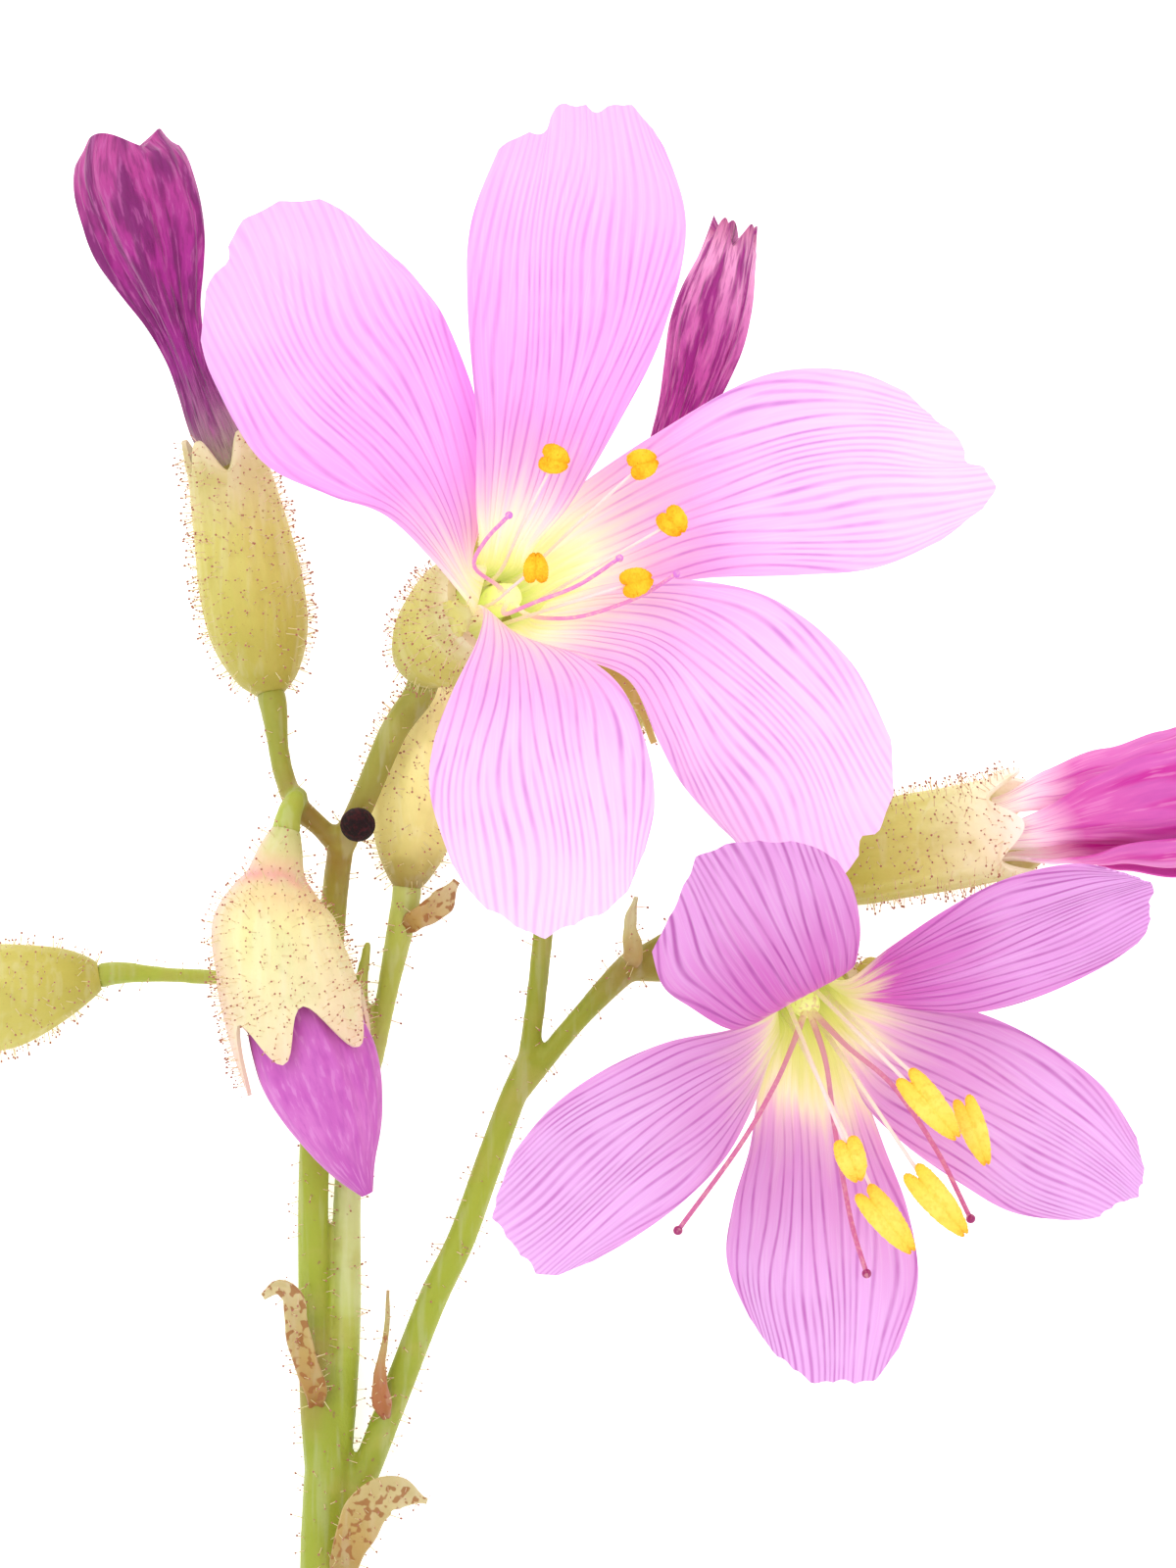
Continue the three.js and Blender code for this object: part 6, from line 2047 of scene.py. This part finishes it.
@dataclass
class GlandHairs:
    """The sticky gland hairs of calyces and stems, made by one geometry node tree.

    Attributes:
        thread_mm: Radius of a hair's thread, and head_mm that of its gland.
        lean: How far a hair leans either way, in radians.
        sizes: Least and most size, as shares of the length.
        taper: Radii at the thread's end and foot, in thread radii.
        long_head: Length of the gland as a share of its width.
    """

    length_mm: float = 0.62
    thread_mm: float = 0.024
    head_mm: float = 0.066
    spacing_mm: float = 0.36
    seed: int = 7
    lean: float = 0.45
    sizes: Span = (0.6, 1.3)
    taper: Span = (0.7, 1.3)
    sides: int = 5
    long_head: float = 1.25

    def tree(self, stalk: bpy.types.Material, head: bpy.types.Material) -> bpy.types.NodeTree:
        """Builds the node tree.

        Args:
            stalk: The hair's material.
            head: The gland's material.

        Returns:
            The tree, with named inputs for density, length and seed.
        """
        tree = bpy.data.node_groups.new("Gland hairs", "GeometryNodeTree")
        face = tree.interface
        face.new_socket("Geometry", in_out="INPUT", socket_type="NodeSocketGeometry")
        for name in ("Density", "Length"):
            face.new_socket(name, in_out="INPUT", socket_type="NodeSocketFloat")
        face.new_socket("Seed", in_out="INPUT", socket_type="NodeSocketInt")
        face.new_socket("Geometry", in_out="OUTPUT", socket_type="NodeSocketGeometry")
        given = add_node(tree, "NodeGroupInput").outputs
        named = {"Name": "hairy"}
        hairy = add_node(tree, "GeometryNodeInputNamedAttribute", named, data_type="FLOAT").outputs[0]
        spread = {
            "Mesh": given["Geometry"], "Distance Min": self.spacing_mm * MM, "Density Max": given["Density"],
            "Density Factor": hairy, "Seed": given["Seed"],
        }
        points = add_node(tree, "GeometryNodeDistributePointsOnFaces", spread, distribute_method="POISSON")
        tilt = {0: (-self.lean, -self.lean, 0.0), 1: (self.lean, self.lean, 6.28), "Seed": given["Seed"]}
        tilts = add_node(tree, "FunctionNodeRandomValue", tilt, data_type="FLOAT_VECTOR").outputs[0]
        spin = {"Rotation": points.outputs["Rotation"], "Rotate By": tilts}
        turn = add_node(tree, "FunctionNodeRotateRotation", spin, rotation_space="LOCAL").outputs[0]
        grown = {2: self.sizes[0], 3: self.sizes[1], "Seed": given["Seed"]}
        sizes = add_node(tree, "FunctionNodeRandomValue", grown, data_type="FLOAT").outputs[1]
        scaled = {0: sizes, 1: given["Length"]}
        size = add_node(tree, "ShaderNodeMath", scaled, operation="MULTIPLY").outputs[0]
        end, foot = (self.thread_mm / self.length_mm * share for share in self.taper)
        cone = {"Vertices": self.sides, "Radius Top": end, "Radius Bottom": foot, "Depth": 1.0}
        thread = add_node(tree, "GeometryNodeMeshCone", cone, fill_type="NONE").outputs[0]
        thread = add_node(tree, "GeometryNodeSetMaterial", {"Geometry": thread, "Material": stalk}).outputs[0]
        knob = {"Radius": self.head_mm / self.length_mm, "Subdivisions": 1}
        gland = add_node(tree, "GeometryNodeMeshIcoSphere", knob).outputs[0]
        lifted = {"Geometry": gland, "Translation": (0, 0, 1), "Scale": (1, 1, self.long_head)}
        gland = add_node(tree, "GeometryNodeTransform", lifted).outputs[0]
        gland = add_node(tree, "GeometryNodeSetMaterial", {"Geometry": gland, "Material": head}).outputs[0]
        hair = add_node(tree, "GeometryNodeJoinGeometry")
        tree.links.new(gland, hair.inputs[0])
        tree.links.new(thread, hair.inputs[0])
        stand = {"Points": points.outputs[0], "Instance": hair.outputs[0], "Rotation": turn, "Scale": size}
        hairs = add_node(tree, "GeometryNodeInstanceOnPoints", stand).outputs[0]
        plain_mesh = add_node(tree, "GeometryNodeRealizeInstances", {"Geometry": hairs}).outputs[0]
        add_node(tree, "NodeGroupOutput", {0: plain_mesh})
        return tree

    def grow(self, tree: bpy.types.NodeTree, skin: bpy.types.Object, per_mm2: float, slot: Slot) -> None:
        """Grows hairs on a piece, as a plain mesh of their own.

        Args:
            tree: The node tree.
            skin: The piece.
            per_mm2: Hairs a square millimetre where the cover is full.
            slot: The material slot that they belong to; not used.
        """
        carrier = placed("hair_carrier", skin.data)
        modifier = carrier.modifiers.new("Gland hairs", "NODES")
        modifier.node_group = tree
        seed = self.seed + len(skin.name)
        values = {"Density": per_mm2 / MM**2, "Length": self.length_mm * MM, "Seed": seed}
        for item in tree.interface.items_tree:
            if item.in_out == "INPUT" and item.name in values:
                modifier[item.identifier] = values[item.name]
        graph = bpy.context.evaluated_depsgraph_get()
        mesh = bpy.data.meshes.new_from_object(carrier.evaluated_get(graph), depsgraph=graph)
        bpy.data.objects.remove(carrier)
        flat = np.empty(len(mesh.vertices) * 3)
        mesh.vertices.foreach_get("co", flat)
        flat[2::3] = np.maximum(flat[2::3], 0)
        mesh.vertices.foreach_set("co", flat)
        hairs = placed(skin.name.replace("_fine", "_hairs"), mesh)
        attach(hairs, "root")
        LOG.info("%s: %d faces", hairs.name, len(mesh.polygons))


# Studio


@dataclass
class Studio:
    """A white surface, soft light and a camera that looks straight down on the spray.

    Attributes:
        window: Width and height of the picture, in mm.
        distance: How far the camera is above the spray's upper side, which lies at upper, in mm.
        lamps: Place in metres and power in watts of each lamp, and lamp_size their width.
        surface_glow: How much light the surface gives off itself, which keeps it white.
    """

    window: Span = (75.0, 100.0)
    distance: float = 1600.0
    upper: float = 10.0
    sensor: float = 36.0
    sky: float = 1.0
    lamps: Sequence[tuple[Point, float]] = (((-0.4, 0.35, 0.75), 2.4), ((0.5, -0.2, 0.6), 0.96))
    lamp_size: float = 0.6
    surface_reach: float = 2.0
    surface_glow: float = 0.6

    def build(self) -> None:
        """Builds the surface, the lights and the camera, and shows colours without a film look."""
        bpy.context.scene.view_settings.view_transform = "Standard"
        self.lay_surface()
        self.hang_lamps()
        self.aim_camera()

    def lay_surface(self) -> None:
        """Lays the white surface."""
        mesh = bpy.data.meshes.new("floor")
        reach = self.surface_reach
        corners = [(-reach, -reach, 0), (reach, -reach, 0), (reach, reach, 0), (-reach, reach, 0)]
        mesh.from_pydata(corners, [], [(0, 1, 2, 3)])
        paint = Paint("matt white surface")
        paper = add_node(paint.tree, "ShaderNodeBsdfDiffuse", {"Color": linear(WHITE)}).outputs[0]
        lit = {"Color": linear(WHITE), "Strength": self.surface_glow}
        glow = add_node(paint.tree, "ShaderNodeEmission", lit).outputs[0]
        both = add_node(paint.tree, "ShaderNodeAddShader", {0: paper, 1: glow}).outputs[0]
        add_node(paint.tree, "ShaderNodeOutputMaterial", {0: both})
        mesh.materials.append(paint.material)
        placed("floor", mesh)

    def hang_lamps(self) -> None:
        """Hangs the lights: an even sky, a large lamp at the upper left, a weaker one at the lower right."""
        world = bpy.data.worlds.new("soft white")
        bpy.context.scene.world = world
        world.use_nodes = True
        colour, strength = world.node_tree.nodes["Background"].inputs[:2]
        colour.default_value, strength.default_value = linear(WHITE), self.sky
        for place, power in self.lamps:
            lamp = bpy.data.lights.new("softbox", "AREA")
            lamp.energy, lamp.size = power, self.lamp_size
            thing = placed("softbox", lamp)
            thing.location = place
            thing.rotation_euler = (-Vector(place)).to_track_quat("-Z", "Y").to_euler()

    def aim_camera(self) -> None:
        """Aims the camera: its window is the picture's, in the spray's own frame."""
        lens = bpy.data.cameras.new("camera")
        lens.sensor_width = self.sensor
        lens.lens = self.sensor * self.distance / self.window[1]
        lens.clip_start, lens.clip_end = 0.01, 10
        camera = placed("camera", lens)
        middle = np.array([self.window[0] / 2, self.window[1] / 2, self.distance + self.upper]) - SHEET_CENTRE
        camera.location = middle * MM
        bpy.context.scene.camera = camera


def main() -> None:
    """Builds the spray piece by piece, then the studio."""
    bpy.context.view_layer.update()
    bench = Bench()
    hairs = GlandHairs()
    tree = hairs.tree(bench.material(Dress.HAIR_STALK), bench.material(Dress.HAIR_HEAD))
    # each part, its hairs a square millimetre where the cover is full, and their slot
    parts = [
        (Stalk(), 1.8, Slot.STEM), (Bracts(), 2.5, Slot.BRACT), (FLOWER_1, 6.5, Slot.CALYX),
        (FLOWER_2, 4, Slot.CALYX), (SideFlower(), 6.5, Slot.CALYX), (SpentFlowers(), 6.5, Slot.CALYX),
        (Buds(), 6.5, Slot.CALYX),
    ]
    for part, per_mm2, slot in parts:
        for skin in part.build(bench):
            hairs.grow(tree, skin, per_mm2, slot)
    Studio().build()
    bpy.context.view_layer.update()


if __name__ == "__main__":
    main()
